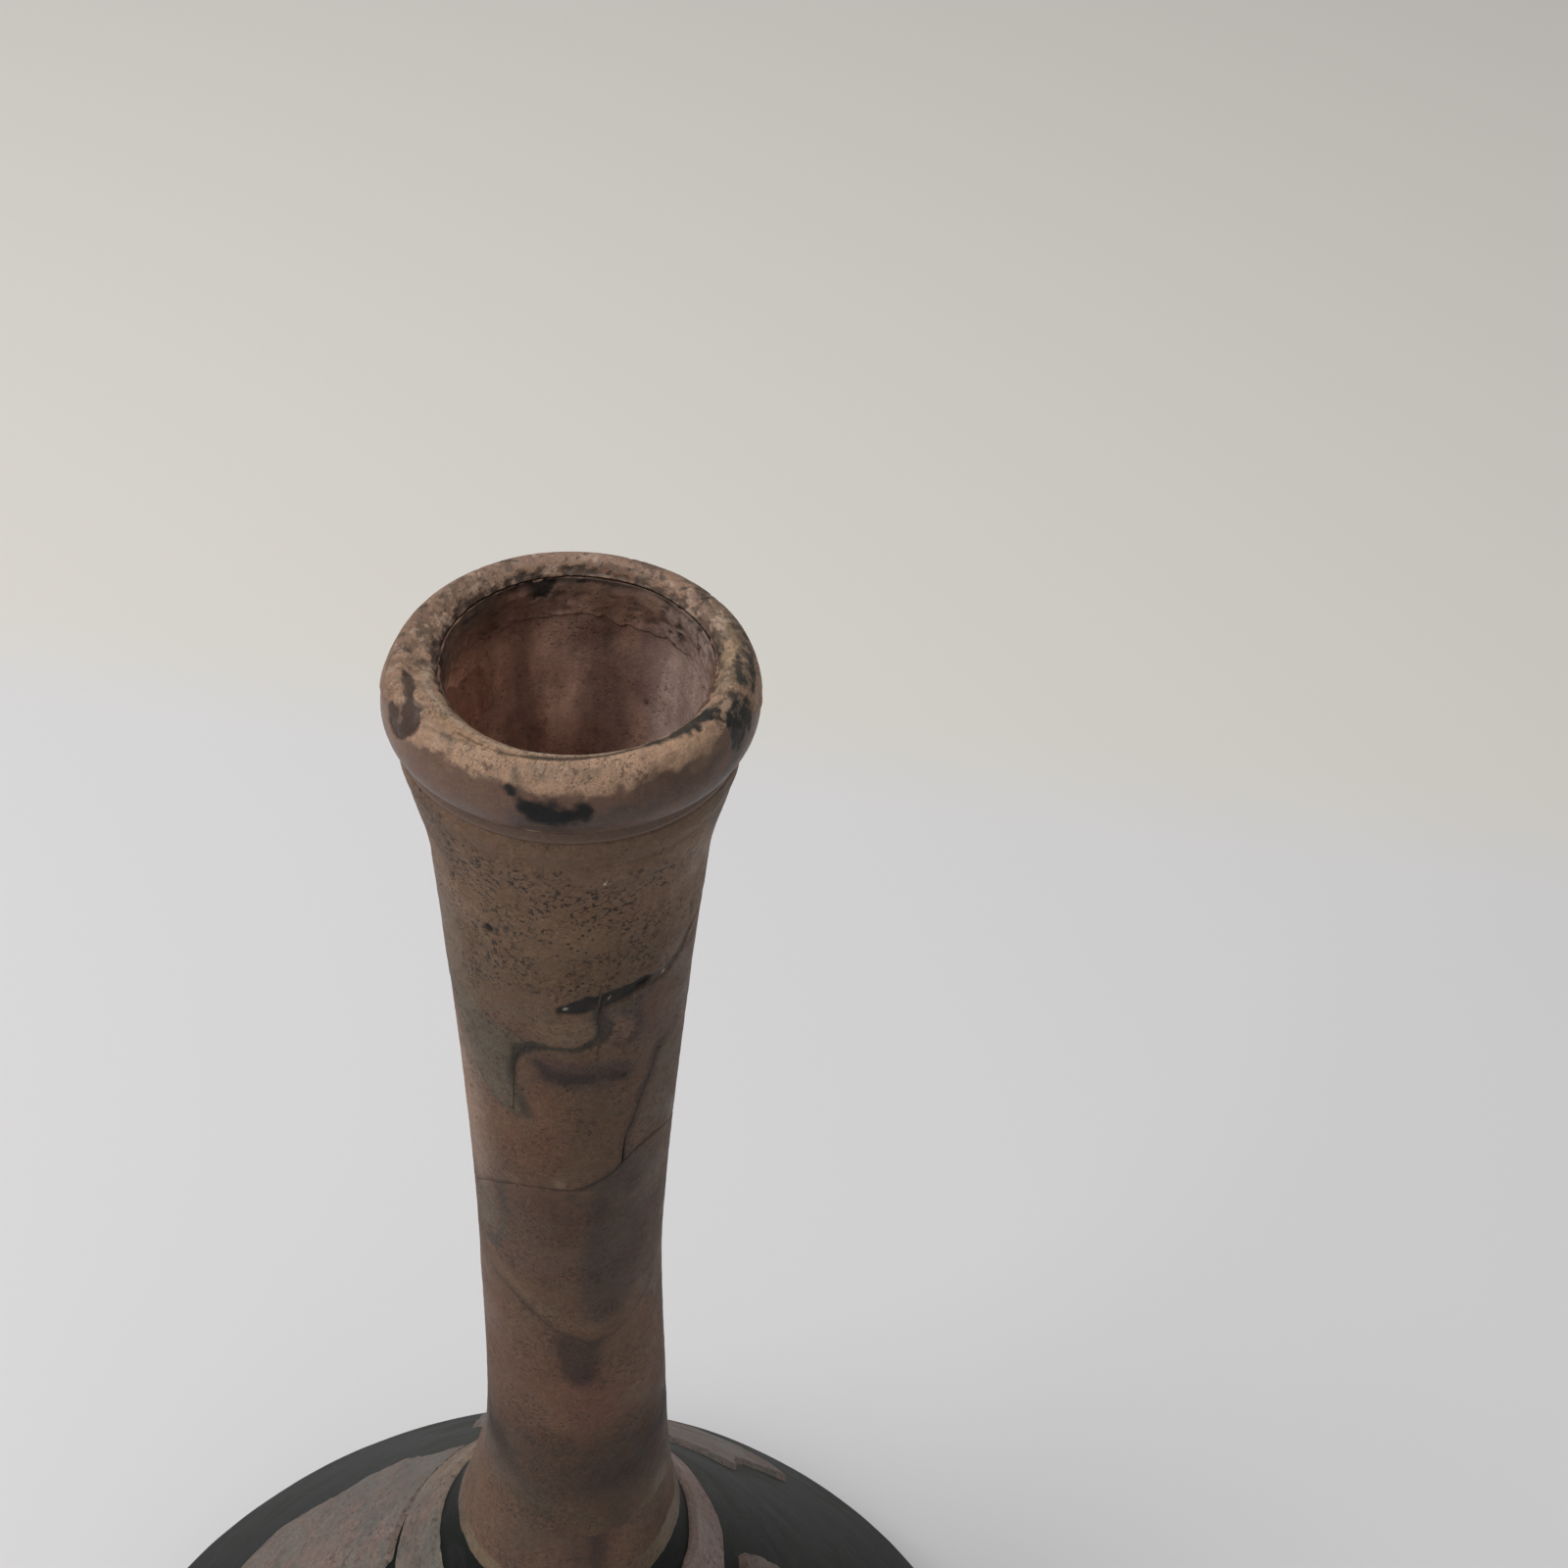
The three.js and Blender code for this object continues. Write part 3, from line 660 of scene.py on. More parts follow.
# Colour and relief of the neck's face at azimuths and heights.
def neckSurface(azimuth, up):
    r = skinRadius(up)
    points = place(azimuth, r, up)
    wall = {"azimuth": azimuth, "up": up, "perDegree": r * math.pi / 180, "points": points}
    surface = blankSurface(wall, neckColours)
    surface["relief"] += 0.05 * (fractal(points, 2.2, 4, 21) - 0.5) + 0.02 * (noise(points, 0.5, 8) - 0.5)
    layMarks(surface, wall, neckMarks)
    tone = 1 + 0.16 * (fractal(points, 5, 3, 33) - 0.5)
    tone = tone + 0.12 * (fractal(points * [1, 1, 0.4], 1.2, 3, 51) - 0.5)
    surface["paint"] *= tone[..., None]
    surface["gloss"] += 0.35 * smooth(0.45, 0.75, fractal(points, 3, 2, 61))
    return r, surface


# A sheet of crust between two lines round the neck. Rows climb from the lower line to the upper
# one; the hidden side is that wall moved inwards. The gaps below and above it are lengths or
# functions of azimuth, and an edge dips where it has a gap.
def neckSheet(name, low, high, nodes, gaps, azimuths=None, proud=0.0, stepUp=0.12, thickness=0.2):
    ring = azimuths is None
    if ring:
        azimuths = np.linspace(-180, 180, 360, endpoint=False)
    under, over = [g(azimuths) if callable(g) else np.full(azimuths.shape, g) for g in gaps]
    lower, upper = low(azimuths) + under, high(azimuths) - over
    rows = int(np.ceil((upper - lower).max() / stepUp)) + 1
    share = np.linspace(0, 1, rows)[:, None]
    up = lower + (upper - lower) * share
    azimuth = np.broadcast_to(azimuths, up.shape)
    r, surface = neckSurface(azimuth, up)
    surface["relief"] += proud - 0.12 * smooth(rimTop - 4.78, rimTop - 4.6, up)
    for gap, away in ((under, up - lower), (over, upper - up)):
        surface["relief"] -= np.minimum(gap * 2, 0.06) * (1 - smooth(0, 0.2, away))
    face = place(azimuth, r + surface["relief"], up)
    back = place(azimuth, r - thickness, up)[::-1][[0, rows // 3, 2 * rows // 3, rows - 1]]
    mesh = closedSkin(name, np.concatenate([face, back]), surface, rows, ring)
    return addPiece(name, mesh, neckMaterial, nodes)


neckMaterial = crustMaterial("neckCrust", neckLook)
collarLine = lambda azimuth: np.full_like(azimuth, rimTop - 4.6, dtype=float)
rootLine = ragged(lambda azimuth: np.full_like(azimuth, form["neckRoot"], dtype=float), 0.25, 4)
cutUpper, cutLower = ragged(upperBreak, 0.06, 12), ragged(lowerBreak, 0.1, 13)
cutNeck, cutWedge = ragged(neckCut, 0.08, 14), ragged(wedgeTop, 0.06, 15)
wedgeSpan = np.linspace(29.4, 132, 220)
hairline = 0.02
# the crack stands open only along its left side and has closed along the top
crackGap = lambda azimuth: hairline * (1 - smooth(44, 52, azimuth))
overWedge = lambda azimuth: hairline * (1 - smooth(44, 52, azimuth) * (1 - smooth(134, 136, azimuth)))

neckSheet("collarCrust", cutNeck, collarLine, ["collar_crust"], (0, 0), proud=0.04)
neckSheet("upperNeckCrust", lambda a: np.maximum(cutUpper(a), cutWedge(a)), cutNeck, ["upper_neck_crust"],
          (overWedge, 0))
neckSheet("wedgeCrust", cutUpper, cutWedge, ["wedge_crust"], (hairline, crackGap), wedgeSpan)
neckSheet("middleNeckCrust", cutLower, cutUpper, ["middle_neck_crust"], (0.006, hairline))
neckSheet("lowerNeckCrust", rootLine, cutLower, ["lower_neck_crust"], (hairline, 0.006))

# ---------- the rolled rim ----------
# A point of the roll's section at an angle, 0 outwards and 90 at the crest: quarter ellipses with
# one width outside and a longer one beyond the crest, one depth above the middle and a shorter below.
def rollPoint(angle, grow=0.0):
    a = np.radians(angle)
    across = np.where(np.asarray(angle) > 90, form["lipReach"], form["rollHalfWidth"]) + grow
    deep = np.where(np.asarray(angle) < 0, form["rollUnder"], form["rollHalfDepth"])
    return form["rollCircle"] + across * np.cos(a), rollCentre + (deep + grow) * np.sin(a)


# how far the lip's inner edge stands off its mean radius: the mouth is a little oval, and set to
# the right of the rim's middle
def mouthShape(azimuth):
    a = np.radians(azimuth)
    return 0.2 * np.cos(2 * a) + 0.3 * np.sin(a)


# the rim is flatter at its back left
def rimFlat(azimuth):
    return 0.55 * np.exp(-(wrap(azimuth + 128) / 36) ** 2)


# what both of these add to the section's radius at an angle of the roll
def rimShift(azimuth, angle):
    return mouthShape(azimuth) * smooth(88, 134, angle) \
        - rimFlat(azimuth) * smooth(100, 30, angle) * smooth(-84, -40, angle)


# way along the section from the equator to an angle
sectionAngles = np.linspace(-90, 180, 541)
sectionSteps = np.hypot(*np.diff(np.array(rollPoint(sectionAngles)), axis=1))
sectionWay = np.concatenate([[0], np.cumsum(sectionSteps)])
sectionWay -= np.interp(0, sectionAngles, sectionWay)


def rollWay(angle):
    return np.interp(angle, sectionAngles, sectionWay)


# Marks on the rim are given as [azimuth, section angle] and turned into [azimuth, way] here.
def onRoll(marks):
    turned = []
    for mark in marks:
        m = dict(mark)
        for key in ("patch", "line"):
            if key in m:
                m[key] = [[a, float(rollWay(angle))] for a, angle in m[key]]
        if "spot" in m:
            m["spot"] = [m["spot"][0], float(rollWay(m["spot"][1])), m["spot"][2]]
        turned.append(m)
    return turned


rimLook = {
    "blotch": 1.8, "blotchStrength": 0.16, "patchyStrength": 0.2, "streak": 0.4, "streakStrength": 0.08,
    "fine": 0.14, "fineStrength": 0.5, "pit": 0.3, "pitStrength": 0.6, "pitColour": (50, 38, 32),
    "cool": (108, 92, 76), "warm": (116, 82, 62), "bump": 0.55, "bumpDepth": 0.06, "rough": 0.66,
    "glossy": 0.26, "coat": 0.14, "shine": 0.3, "speck": 0.26, "speckStrength": 0.5, "flakeStrength": 0.24,
}
rimTan = (144, 117, 96)
# the tan sheet's lower edge, as a section angle, round the rim
tanEdge = [[-180, 28], [-140, 24], [-110, 16], [-92, 8], [-80, 26], [-72, 36], [-64, 28], [-53, 34],
           [-38, 44], [-29, 37], [-16, 34], [-6, 26], [6, 27], [18, 31], [24, 42], [35, 38], [45, 38],
           [54, 48], [66, 26], [84, 2], [110, 4], [140, 18]]
rimMarks = [
    # the outer left side is browner
    area([[-110, 76], [-76, 76], [-58, 14], [-66, -24], [-110, -24]], (100, 76, 62), 0.7, 0.8),
    # the far side is mauve-grey and mottled
    area([[98, 150], [130, 150], [180, 150], [220, 150], [262, 150], [262, 10], [220, 6], [180, 10],
         [130, 8], [98, 20]], (106, 84, 72), 0.6, 0.7, 0.6),
    area([[150, 108], [200, 112], [232, 104], [230, 60], [190, 52], [150, 58]], (122, 100, 90), 0.5, 0.4,
         0.9),
    area([[-126, 116], [-138, 118], [-150, 112], [-146, 92], [-130, 88]], (96, 78, 68), 0.4, 0.3, 1.0),
    # smooth undercoat showing on the left
    area([[-80, 87], [-76, 99], [-70, 100], [-65, 87], [-60, 88], [-54, 67], [-54, 41], [-58, 22],
         [-64, 15], [-72, 37], [-66, 56], [-66, 71], [-72, 76]], (46, 28, 20), 1.0, 0.05, 0.45, ragSize=0.5,
         relief=-0.07, gloss=0.5, grain=0.2),
    stroke([[-53, 66], [-40, 74], [-36, 79], [-30, 71]], [0.1, 0.35, 0.3, 0.1], (66, 54, 42), 0.8, 0.12,
           0.8),
    area([[-56, 106], [-40, 102], [-22, 97], [-8, 96], [-10, 84], [-30, 80], [-50, 86]], (142, 112, 82),
         0.5, 0.35),
    stroke([[-92, 118], [-99, 124], [-108, 110], [-96, 106], [-90, 98]], [0.25, 0.4, 0.3, 0.2],
           (70, 58, 48), 0.7, 0.14, 1.1, ragSize=0.4),
    # brightest tan on the near crest
    area([[-4, 84], [10, 86], [22, 84], [30, 70], [24, 52], [10, 38], [0, 40], [-6, 56]], (160, 130, 108),
         0.7, 0.4, 0.5),
    area([[34, 84], [44, 80], [50, 68], [46, 54], [36, 62]], (156, 126, 102), 0.8, 0.25, 0.5),
    area([[-14, 72], [4, 74], [16, 66], [4, 56], [-10, 56]], (118, 100, 84), 0.5, 0.3, 0.7),
    # black at the front, with smoky brown below and beside it
    area([[-18, 2], [-6, -2], [8, 8], [20, 14], [26, -4], [14, -24], [0, -44], [-14, -40]], (52, 42, 38),
         0.7, 0.4, 0.6),
    area([[-14, 19], [-9, 21], [-2, 17], [5, 21], [7, 6], [3, -8], [-4, -17], [-11, -12], [-15, 6]],
         (5, 4, 4), 1.0, 0.32, 0.9, ragSize=0.5, gloss=0.1, grain=0.2),
    dot([-16.5, 30, 0.36], (3, 3, 3), 1.0, 0.12, 0.9),
    stroke([[-15, 32], [-15.5, 44], [-17, 60], [-17, 70]], [0.4, 0.35, 0.35, 0.2], (70, 62, 54), 0.75, 0.22,
           0.6),
    area([[22, 44], [34, 38], [46, 38], [52, 24], [42, 4], [28, -8], [19, 12]], (64, 48, 39), 0.7, 0.3,
         1.0),
    stroke([[38, 30], [46, 36], [54, 44]], [0.3, 0.5, 0.3], (96, 76, 60), 0.7, 0.2, 0.8),
    # black-green on the right, running along the mouth's edge
    area([[56, 114], [60, 92], [68, 84], [71, 50], [69, 27], [62, 18], [55, 16], [57, 46], [52, 72],
         [45, 84], [50, 106]], (26, 26, 24), 1.0, 0.12, 1.0, ragSize=0.4, relief=-0.06),
    stroke([[20, 102], [27, 100], [34, 97], [42, 96], [51, 98]], [0.15, 0.4, 0.5, 0.75, 0.9], (22, 22, 19),
           0.95, 0.12, 0.6, ragSize=0.4),
    stroke([[57, 70], [60, 78], [65, 82], [68, 92]], [0.25, 0.35, 0.3, 0.15], (142, 120, 100), 0.9, 0.1,
           0.5, ragSize=0.3),
    stroke([[66, 26], [58, 4], [46, -16], [36, -26]], [0.9, 0.9, 0.6, 0.3], (42, 38, 35), 0.8, 0.3, 0.5),
    # mottled grey, tan and black on the right crest
    area([[66, 120], [84, 126], [100, 124], [116, 110], [118, 70], [98, 52], [84, 48], [74, 64], [70, 90]],
         (98, 86, 68), 0.7, 0.3, 0.9),
    area([[88, 104], [98, 98], [94, 84], [84, 70], [80, 84]], (146, 122, 98), 0.7, 0.14, 1.2, ragSize=0.4),
    stroke([[90, 88], [84, 86], [76, 76], [80, 66]], [0.2, 0.4, 0.45, 0.2], (26, 27, 25), 0.95, 0.12, 0.9,
           ragSize=0.4),
    stroke([[96, 60], [90, 62], [82, 55], [76, 48]], [0.2, 0.45, 0.45, 0.25], (22, 22, 20), 0.95, 0.14, 0.9,
           ragSize=0.5),
    stroke([[84, 124], [92, 126], [100, 122], [114, 120]], [0.2, 0.3, 0.25, 0.15], (50, 44, 36), 0.8, 0.12,
           0.8, ragSize=0.4),
    stroke([[118, 96], [124, 92], [130, 84]], [0.25, 0.4, 0.2], (60, 58, 50), 0.8, 0.16, 0.8),
    # the thin dark line just outside the folded lip, the pale ridge inside it, and the far seam
    stroke([[-40, 90], [-24, 86], [-12, 91], [-2, 94], [7, 96], [16, 100], [24, 103]],
           [0.06, 0.14, 0.2, 0.28, 0.26, 0.28, 0.2], (34, 29, 25), 0.9, 0.08, 0.2, relief=-0.05),
    stroke([[-84, 122], [-74, 114], [-60, 112], [-45, 110], [-32, 104], [-20, 103], [-7, 105], [8, 108],
           [20, 111]], [0.1, 0.25, 0.25, 0.3, 0.25, 0.22, 0.2, 0.2, 0.1], (150, 132, 114), 0.8, 0.1, 0.25,
           relief=0.05),
    area([[172, 124], [166, 108], [154, 120], [158, 131]], (92, 60, 47), 0.85, 0.12, 0.6, gloss=0.3),
    stroke([[-118, 130], [-132, 133], [-150, 131], [-160, 126], [-170, 131], [178, 130], [166, 131],
           [150, 131]], [0.1, 0.2, 0.3, 0.5, 0.4, 0.25, 0.25, 0.2], (36, 28, 25), 0.85, 0.1, 0.8,
           ragSize=0.35, relief=-0.06),
]


# flecks over the crest, more of them away from the front: size, seed, threshold, colour, weight
rimFlecks = [(0.75, 29, 0.57, (72, 60, 52), 0.7), (0.42, 30, 0.6, (46, 40, 36), 0.8),
             (0.5, 31, 0.6, (158, 136, 120), 0.6)]


# The rim's face: the roll's section down to its underside, then in to the collar below it. Rows run
# from the collar up the outside and over the crest to the seam inside the mouth.
def rimSheet():
    azimuths = np.linspace(-180, 180, 420, endpoint=False)
    turned = np.linspace(-74, 134, 116)
    r, z = rollPoint(turned)
    foot = rimTop - 4.75
    collar = skinRadius(np.array([foot, foot + 0.2, foot + 0.4]))
    low = np.stack([np.append(collar + [-0.05, 0.0, 0.02], r[0] - 0.06),
                    np.append(foot + np.array([0, 0.2, 0.4]), z[0] - 0.1)], 1)
    section = np.vstack([low, np.stack([r, z], 1)])
    angles = np.concatenate([[-91, -88, -84, -79], turned])
    azimuth, angle = np.meshgrid(azimuths, angles)
    radius, up = np.repeat(section[:, :1], len(azimuths), 1), np.repeat(section[:, 1:], len(azimuths), 1)
    radius = radius + rimShift(azimuth, angle)
    points = place(azimuth, radius, up)
    wall = {"azimuth": azimuth, "up": rollWay(angle), "perDegree": radius * math.pi / 180, "points": points,
            "angle": angle}
    stations = [(-90, (84, 66, 54)), (-70, (78, 60, 50)), (-50, (82, 63, 54)), (-20, (86, 64, 54)),
                (20, (84, 61, 50)), (120, (84, 61, 50))]
    surface = blankSurface(wall, stations, "angle", gloss=0.75, grain=0.25)
    edge = breakLine(tanEdge)(azimuths)[None, :]
    ragEdge = edge + 16 * (fractal(points, 1.5, 4, 2) - 0.5) + 26 * (fractal(points, 0.5, 3, 9) - 0.5)
    tan = smooth(-4, 4, angle - ragEdge)
    away = smooth(50, 110, np.abs(wrap(azimuth)))
    tan = tan * (1 - smooth(0.56, 0.64, fractal(points, 0.5, 4, 17)) * (0.25 + 0.6 * away))
    tanColour = linear(rimTan) * gain * (1 + 0.3 * (fractal(points, 1.1, 3, 40) - 0.5))[..., None]
    surface["paint"] += (tanColour - surface["paint"]) * tan[..., None]
    surface["relief"] += 0.06 * tan + 0.05 * (fractal(points, 1.6, 4, 24) - 0.5)
    surface["gloss"] *= 1 - tan
    surface["grain"] += 0.9 * tan
    layMarks(surface, wall, onRoll(rimMarks))
    for size, seed, low, colour, weight in rimFlecks:
        fleck = smooth(low, low + 0.07, fractal(points, size, 4, seed)) * smooth(20, 60, angle) * weight
        fleck = fleck * (0.25 + 0.75 * away)
        surface["paint"] += (linear(colour) * gain - surface["paint"]) * fleck[..., None]
    wave = 0.12 * (noise(points * [1, 1, 0.3], 9, 70) - 0.5)
    normal = np.stack([np.cos(np.radians(angle)) / form["rollHalfWidth"],
                       np.sin(np.radians(angle)) / form["rollHalfDepth"]], -1)
    normal /= np.linalg.norm(normal, axis=-1, keepdims=True)
    lift = (surface["relief"] + wave) * smooth(-90, -60, angle)
    face = place(azimuth, radius + lift * normal[..., 0], up + np.minimum(lift * normal[..., 1], 0.06))
    hidden = np.linspace(130, -60, 9)
    innerR, innerZ = rollPoint(hidden, -0.3)
    inner = innerR[:, None] + rimShift(azimuths, hidden[:, None])
    under = np.full((1, len(azimuths)), skinRadius(foot) - 0.3)
    back = place(azimuths, np.vstack([inner, under]), np.append(innerZ, foot)[:, None])
    mesh = closedSkin("rimCrust", np.concatenate([face, back]), surface, len(angles))
    return addPiece("rimCrust", mesh, crustMaterial("rimCrust", rimLook), ["rim_crust"])


rimSheet()

# ---------- inside the mouth ----------
liningLook = {
    "blotch": 2.4, "blotchStrength": 0.2, "patchyStrength": 0.2, "streak": 0.45, "streakStrength": 0.3,
    "fine": 0.16, "fineStrength": 0.4, "pit": 0.3, "pitStrength": 0.6, "pitColour": (40, 26, 24),
    "cool": (112, 96, 88), "warm": (104, 72, 58), "bump": 0.45, "bumpDepth": 0.06, "rough": 0.66,
    "glossy": 0.2, "coat": 0.1, "shine": 0.25, "speck": 0.22, "speckStrength": 0.35, "flakeStrength": 0.16,
}
liningMarks = [
    area([[176, 127.6], [192, 126.6], [198, 123], [190, 120], [174, 121], [170, 125]], (136, 108, 96), 0.75,
         0.9),
    area([[96, 129], [134, 128], [138, 122], [120, 119], [92, 120]], (124, 108, 102), 0.7, 1.0, 0.8),
    area([[136, 127], [150, 126.6], [152, 123.6], [140, 122.4]], (70, 54, 54), 0.65, 0.6, 0.8),
    area([[222, 126], [242, 126.4], [246, 121.4], [228, 120.6]], (84, 57, 47), 0.6, 0.8),
    stroke([[160, 126], [158, 122], [160, 118.6]], [0.6, 1.1, 0.8], (64, 48, 46), 0.5, 0.7),
    stroke([[204, 124.6], [205, 121], [202, 118]], [0.4, 0.7, 0.6], (66, 50, 48), 0.5, 0.5),
    dot([172, 125.4, 0.6], (90, 54, 48), 0.6, 0.4),
    dot([142, 122.4, 0.12], (36, 20, 16), soft=0.08, relief=-0.05),
    dot([144, 120.2, 0.08], (36, 20, 16), soft=0.06),
    dot([232, 123, 0.14], (60, 22, 14), soft=0.1),
    dot([130, 126.6, 0.12], (30, 20, 16), soft=0.08),
]
liningColours = [(95, (74, 57, 50)), (118, (98, 75, 65)), (121, (92, 69, 59)), (125, (94, 70, 59)),
                 (127.2, (92, 69, 57)), (128.2, (88, 68, 56)), (128.8, (80, 62, 51))]


# A sheet on the wall inside, facing the middle. Rows run down from the lip so that it faces inwards.
# how much the inner crust's paint is lightened as painted light where less light gets in, as powers of e,
# less on the right where the window light falls, and darkened as painted shade next to the seam
liningPaintedLight = {"all": 0.66, "right": -0.8, "sides": 0.36, "deep": 0.55, "seam": 0.45}


def innerSheet(name, radius, high, low, nodes, backRadius, step, rough, marks):
    azimuths = np.linspace(0, 360, 270, endpoint=False)
    rows = int((high - low).max() / step) + 2
    up = high + (low - high) * np.linspace(0, 1, rows)[:, None]
    azimuth = np.broadcast_to(azimuths, up.shape)
    shift = mouthShape(azimuth) * smooth(rimTop - 6, rimTop - 1.6, up)
    r = radius(up) + shift
    points = place(azimuth, r, up)
    wall = {"azimuth": azimuth, "up": up, "perDegree": r * math.pi / 180, "points": points}
    surface = blankSurface(wall, liningColours, grain=0.8)
    coarse, fine = fractal(points, 1.1, 4, 91) - 0.5, noise(points, 0.3, 92) - 0.5
    surface["relief"] += rough * coarse + 0.4 * rough * fine
    layMarks(surface, wall, marks)
    streak = fractal(points * [1, 1, 0.14], 0.8, 4, 95) - 0.5
    mottle = fractal(points, 1.3, 4, 96) - 0.5
    granular = smooth(rimTop - 4.8, rimTop - 1.6, up) * smooth(0.5, 0.58, fractal(points, 0.4, 4, 97)) \
        * smooth(0.4, 0.6, fractal(points, 2.2, 3, 98))
    surface["paint"] *= (1 + 1.3 * streak + 0.9 * mottle - 0.7 * granular)[..., None]
    surface["relief"] -= 0.05 * granular
    # painted light: the paint is lightened below the lip, most deep down and on the left, where less light
    # gets in; painted shade darkens it just under the seam above
    right, pale = np.sin(np.radians(azimuth)), liningPaintedLight
    lift = pale["all"] + pale["right"] * right + pale["sides"] * right ** 2
    lift = lift * smooth(rimTop - 0.8, rimTop - 4.4, up) + pale["deep"] * smooth(122, 117, up)
    lift = np.exp(lift) * (1 - pale["seam"] * smooth(0.3, 0, high - up))
    surface["paint"] *= lift[..., None]
    face = place(azimuth, r - surface["relief"], up)
    back = place(azimuth, backRadius(up) + shift, up)[::-1][[0, rows // 2, rows - 1]]
    mesh = closedSkin(name, np.concatenate([face, back]), surface, rows)
    return addPiece(name, mesh, liningMaterial, nodes)


liningMaterial = crustMaterial("liningCrust", liningLook)
mouthRadius = form["rollCircle"] - form["rollHalfWidth"]
turn = np.linspace(0, 360, 270, endpoint=False)
foldRag = fractal(place(turn, 6.6, 126.3 + 0 * turn), 1.6, 4, 77) - 0.5
foldLow = 126.6 + 1.5 * foldRag
foldHigh = np.full_like(turn, rimTop - 0.7)
seamMarks = [
    area([[202, 128.9], [188, 128.9], [188, 127.9], [196, 127.9], [203, 128.2]], (20, 15, 13), 0.95, 0.1,
         1.0, ragSize=0.35, relief=-0.08),
    stroke([[150, 128.7], [166, 128.6], [182, 128.8], [206, 128.5], [222, 128.3], [240, 128.4]],
           [0.2, 0.35, 0.3, 0.4, 0.3, 0.15], (38, 29, 25), 0.85, 0.12, 0.6, ragSize=0.4),
    stroke([[196, 126.2], [206, 126.4], [218, 126.9], [230, 126.8]], [0.15, 0.3, 0.35, 0.15], (46, 33, 28),
           0.8, 0.12, 0.6),
    stroke([[96, 128.5], [112, 128.3], [126, 128.5], [140, 128.7]], [0.15, 0.25, 0.3, 0.2], (40, 31, 26),
           0.85, 0.1, 0.5),
    area([[200, 128.6], [226, 128.2], [228, 127], [202, 127]], (90, 60, 49), 0.6, 0.4, 0.6),
    area([[130, 128.5], [170, 128.6], [168, 127.2], [134, 127.0]], (78, 57, 48), 0.55, 0.4, 0.8),
    dot([132, 128.3, 0.16], (18, 13, 11), soft=0.08),
    dot([142, 127.1, 0.13], (18, 13, 11), soft=0.08),
    dot([190, 128.1, 0.16], (24, 16, 14), soft=0.1),
    dot([233, 126.8, 0.12], (26, 17, 14), soft=0.08),
]


# the folded lip's inner face: it leaves the crest, stands in to the mouth's radius and fades into the wall
def foldRadius(z):
    out = smooth(rimTop - 1.7, rimTop - 0.6, z)
    return form["lipRadius"] - 0.28 + 0.2 * out ** 2


def foldBack(z):
    return foldRadius(z) + 0.1 + 0.2 * smooth(rimTop - 0.9, rimTop - 2, z)


innerSheet("lipFold", foldRadius, foldHigh, foldLow, ["lip_fold"], foldBack, 0.08, 0.24,
           seamMarks + liningMarks)


# the wall below the fold widens from the bore up to the roll
def liningRadius(z):
    bore = boreRadius(np.minimum(z, 123)) - 0.1
    return bore + (mouthRadius + 0.06 - bore) * smooth(rimTop - 9, rimTop - 3, z)


liningTop = foldLow + 0.35
liningFoot = np.full_like(turn, bottom("mouth_lining"))
innerSheet("mouthLining", liningRadius, liningTop, liningFoot, ["mouth_lining"],
           lambda z: liningRadius(z) + 0.3, 0.16, 0.05, liningMarks)

# ---------- the neck's glass ----------
glassLook = {
    "glass": (26, 32, 28), "filmColour": (78, 76, 70), "rainbow": 0.1, "rainbowColour": (92, 84, 96),
    "soil": (104, 88, 72), "film": 9, "rough": 0.34, "shine": 0.3, "rings": 0.7,
}
neckGlass = glassMaterial("darkGlass", glassLook)


# One sherd of the neck: glass between two breaks, from just under the crust in to the bore.
def sherd(name, low, high, node, azimuths=None, gap=0.03):
    ring = azimuths is None
    if ring:
        azimuths = np.linspace(-180, 180, 180, endpoint=False)
    lower, upper = low(azimuths) + gap, high(azimuths) - gap
    rows = 60
    up = lower + (upper - lower) * np.linspace(0, 1, rows)[:, None]
    azimuth = np.broadcast_to(azimuths, up.shape)
    face = place(azimuth, skinRadius(up) - form["filmUnder"], up)
    bore = np.where(up > bottom("mouth_lining") - 1, liningRadius(up) + 0.25, boreRadius(up))
    back = place(azimuth, np.minimum(bore, skinRadius(up) - form["filmUnder"] - 0.1), up)[::-1]
    surface = {"paint": np.zeros(up.shape + (3,)), "gloss": np.ones(up.shape), "grain": np.zeros(up.shape)}
    mesh = closedSkin(name, np.concatenate([face, back]), surface, rows, ring)
    return addPiece(name, mesh, neckGlass, [node])


collarGlass = lambda azimuth: np.full_like(azimuth, rimTop - 2.4, dtype=float)
sherd("upperNeckSherd", lambda a: np.maximum(cutUpper(a), cutWedge(a)), collarGlass, "upper_neck_sherd")
sherd("neckWedgeSherd", cutUpper, cutWedge, "neck_wedge_sherd", azimuths=wedgeSpan[::2])
sherd("middleNeckSherd", cutLower, cutUpper, "middle_neck_sherd")
rootGlass = lambda azimuth: np.full_like(azimuth, form["neckRoot"], dtype=float)
sherd("lowerNeckSherd", rootGlass, cutLower, "lower_neck_sherd")

# ---------- the body ----------
bodyLook = {
    "glass": (13, 17, 14), "filmColour": (62, 63, 57), "rainbow": 0.1, "rainbowColour": (70, 64, 72),
    "soil": (96, 80, 66), "film": 13, "rough": 0.5, "shine": 0.05, "rings": 1.4,
}


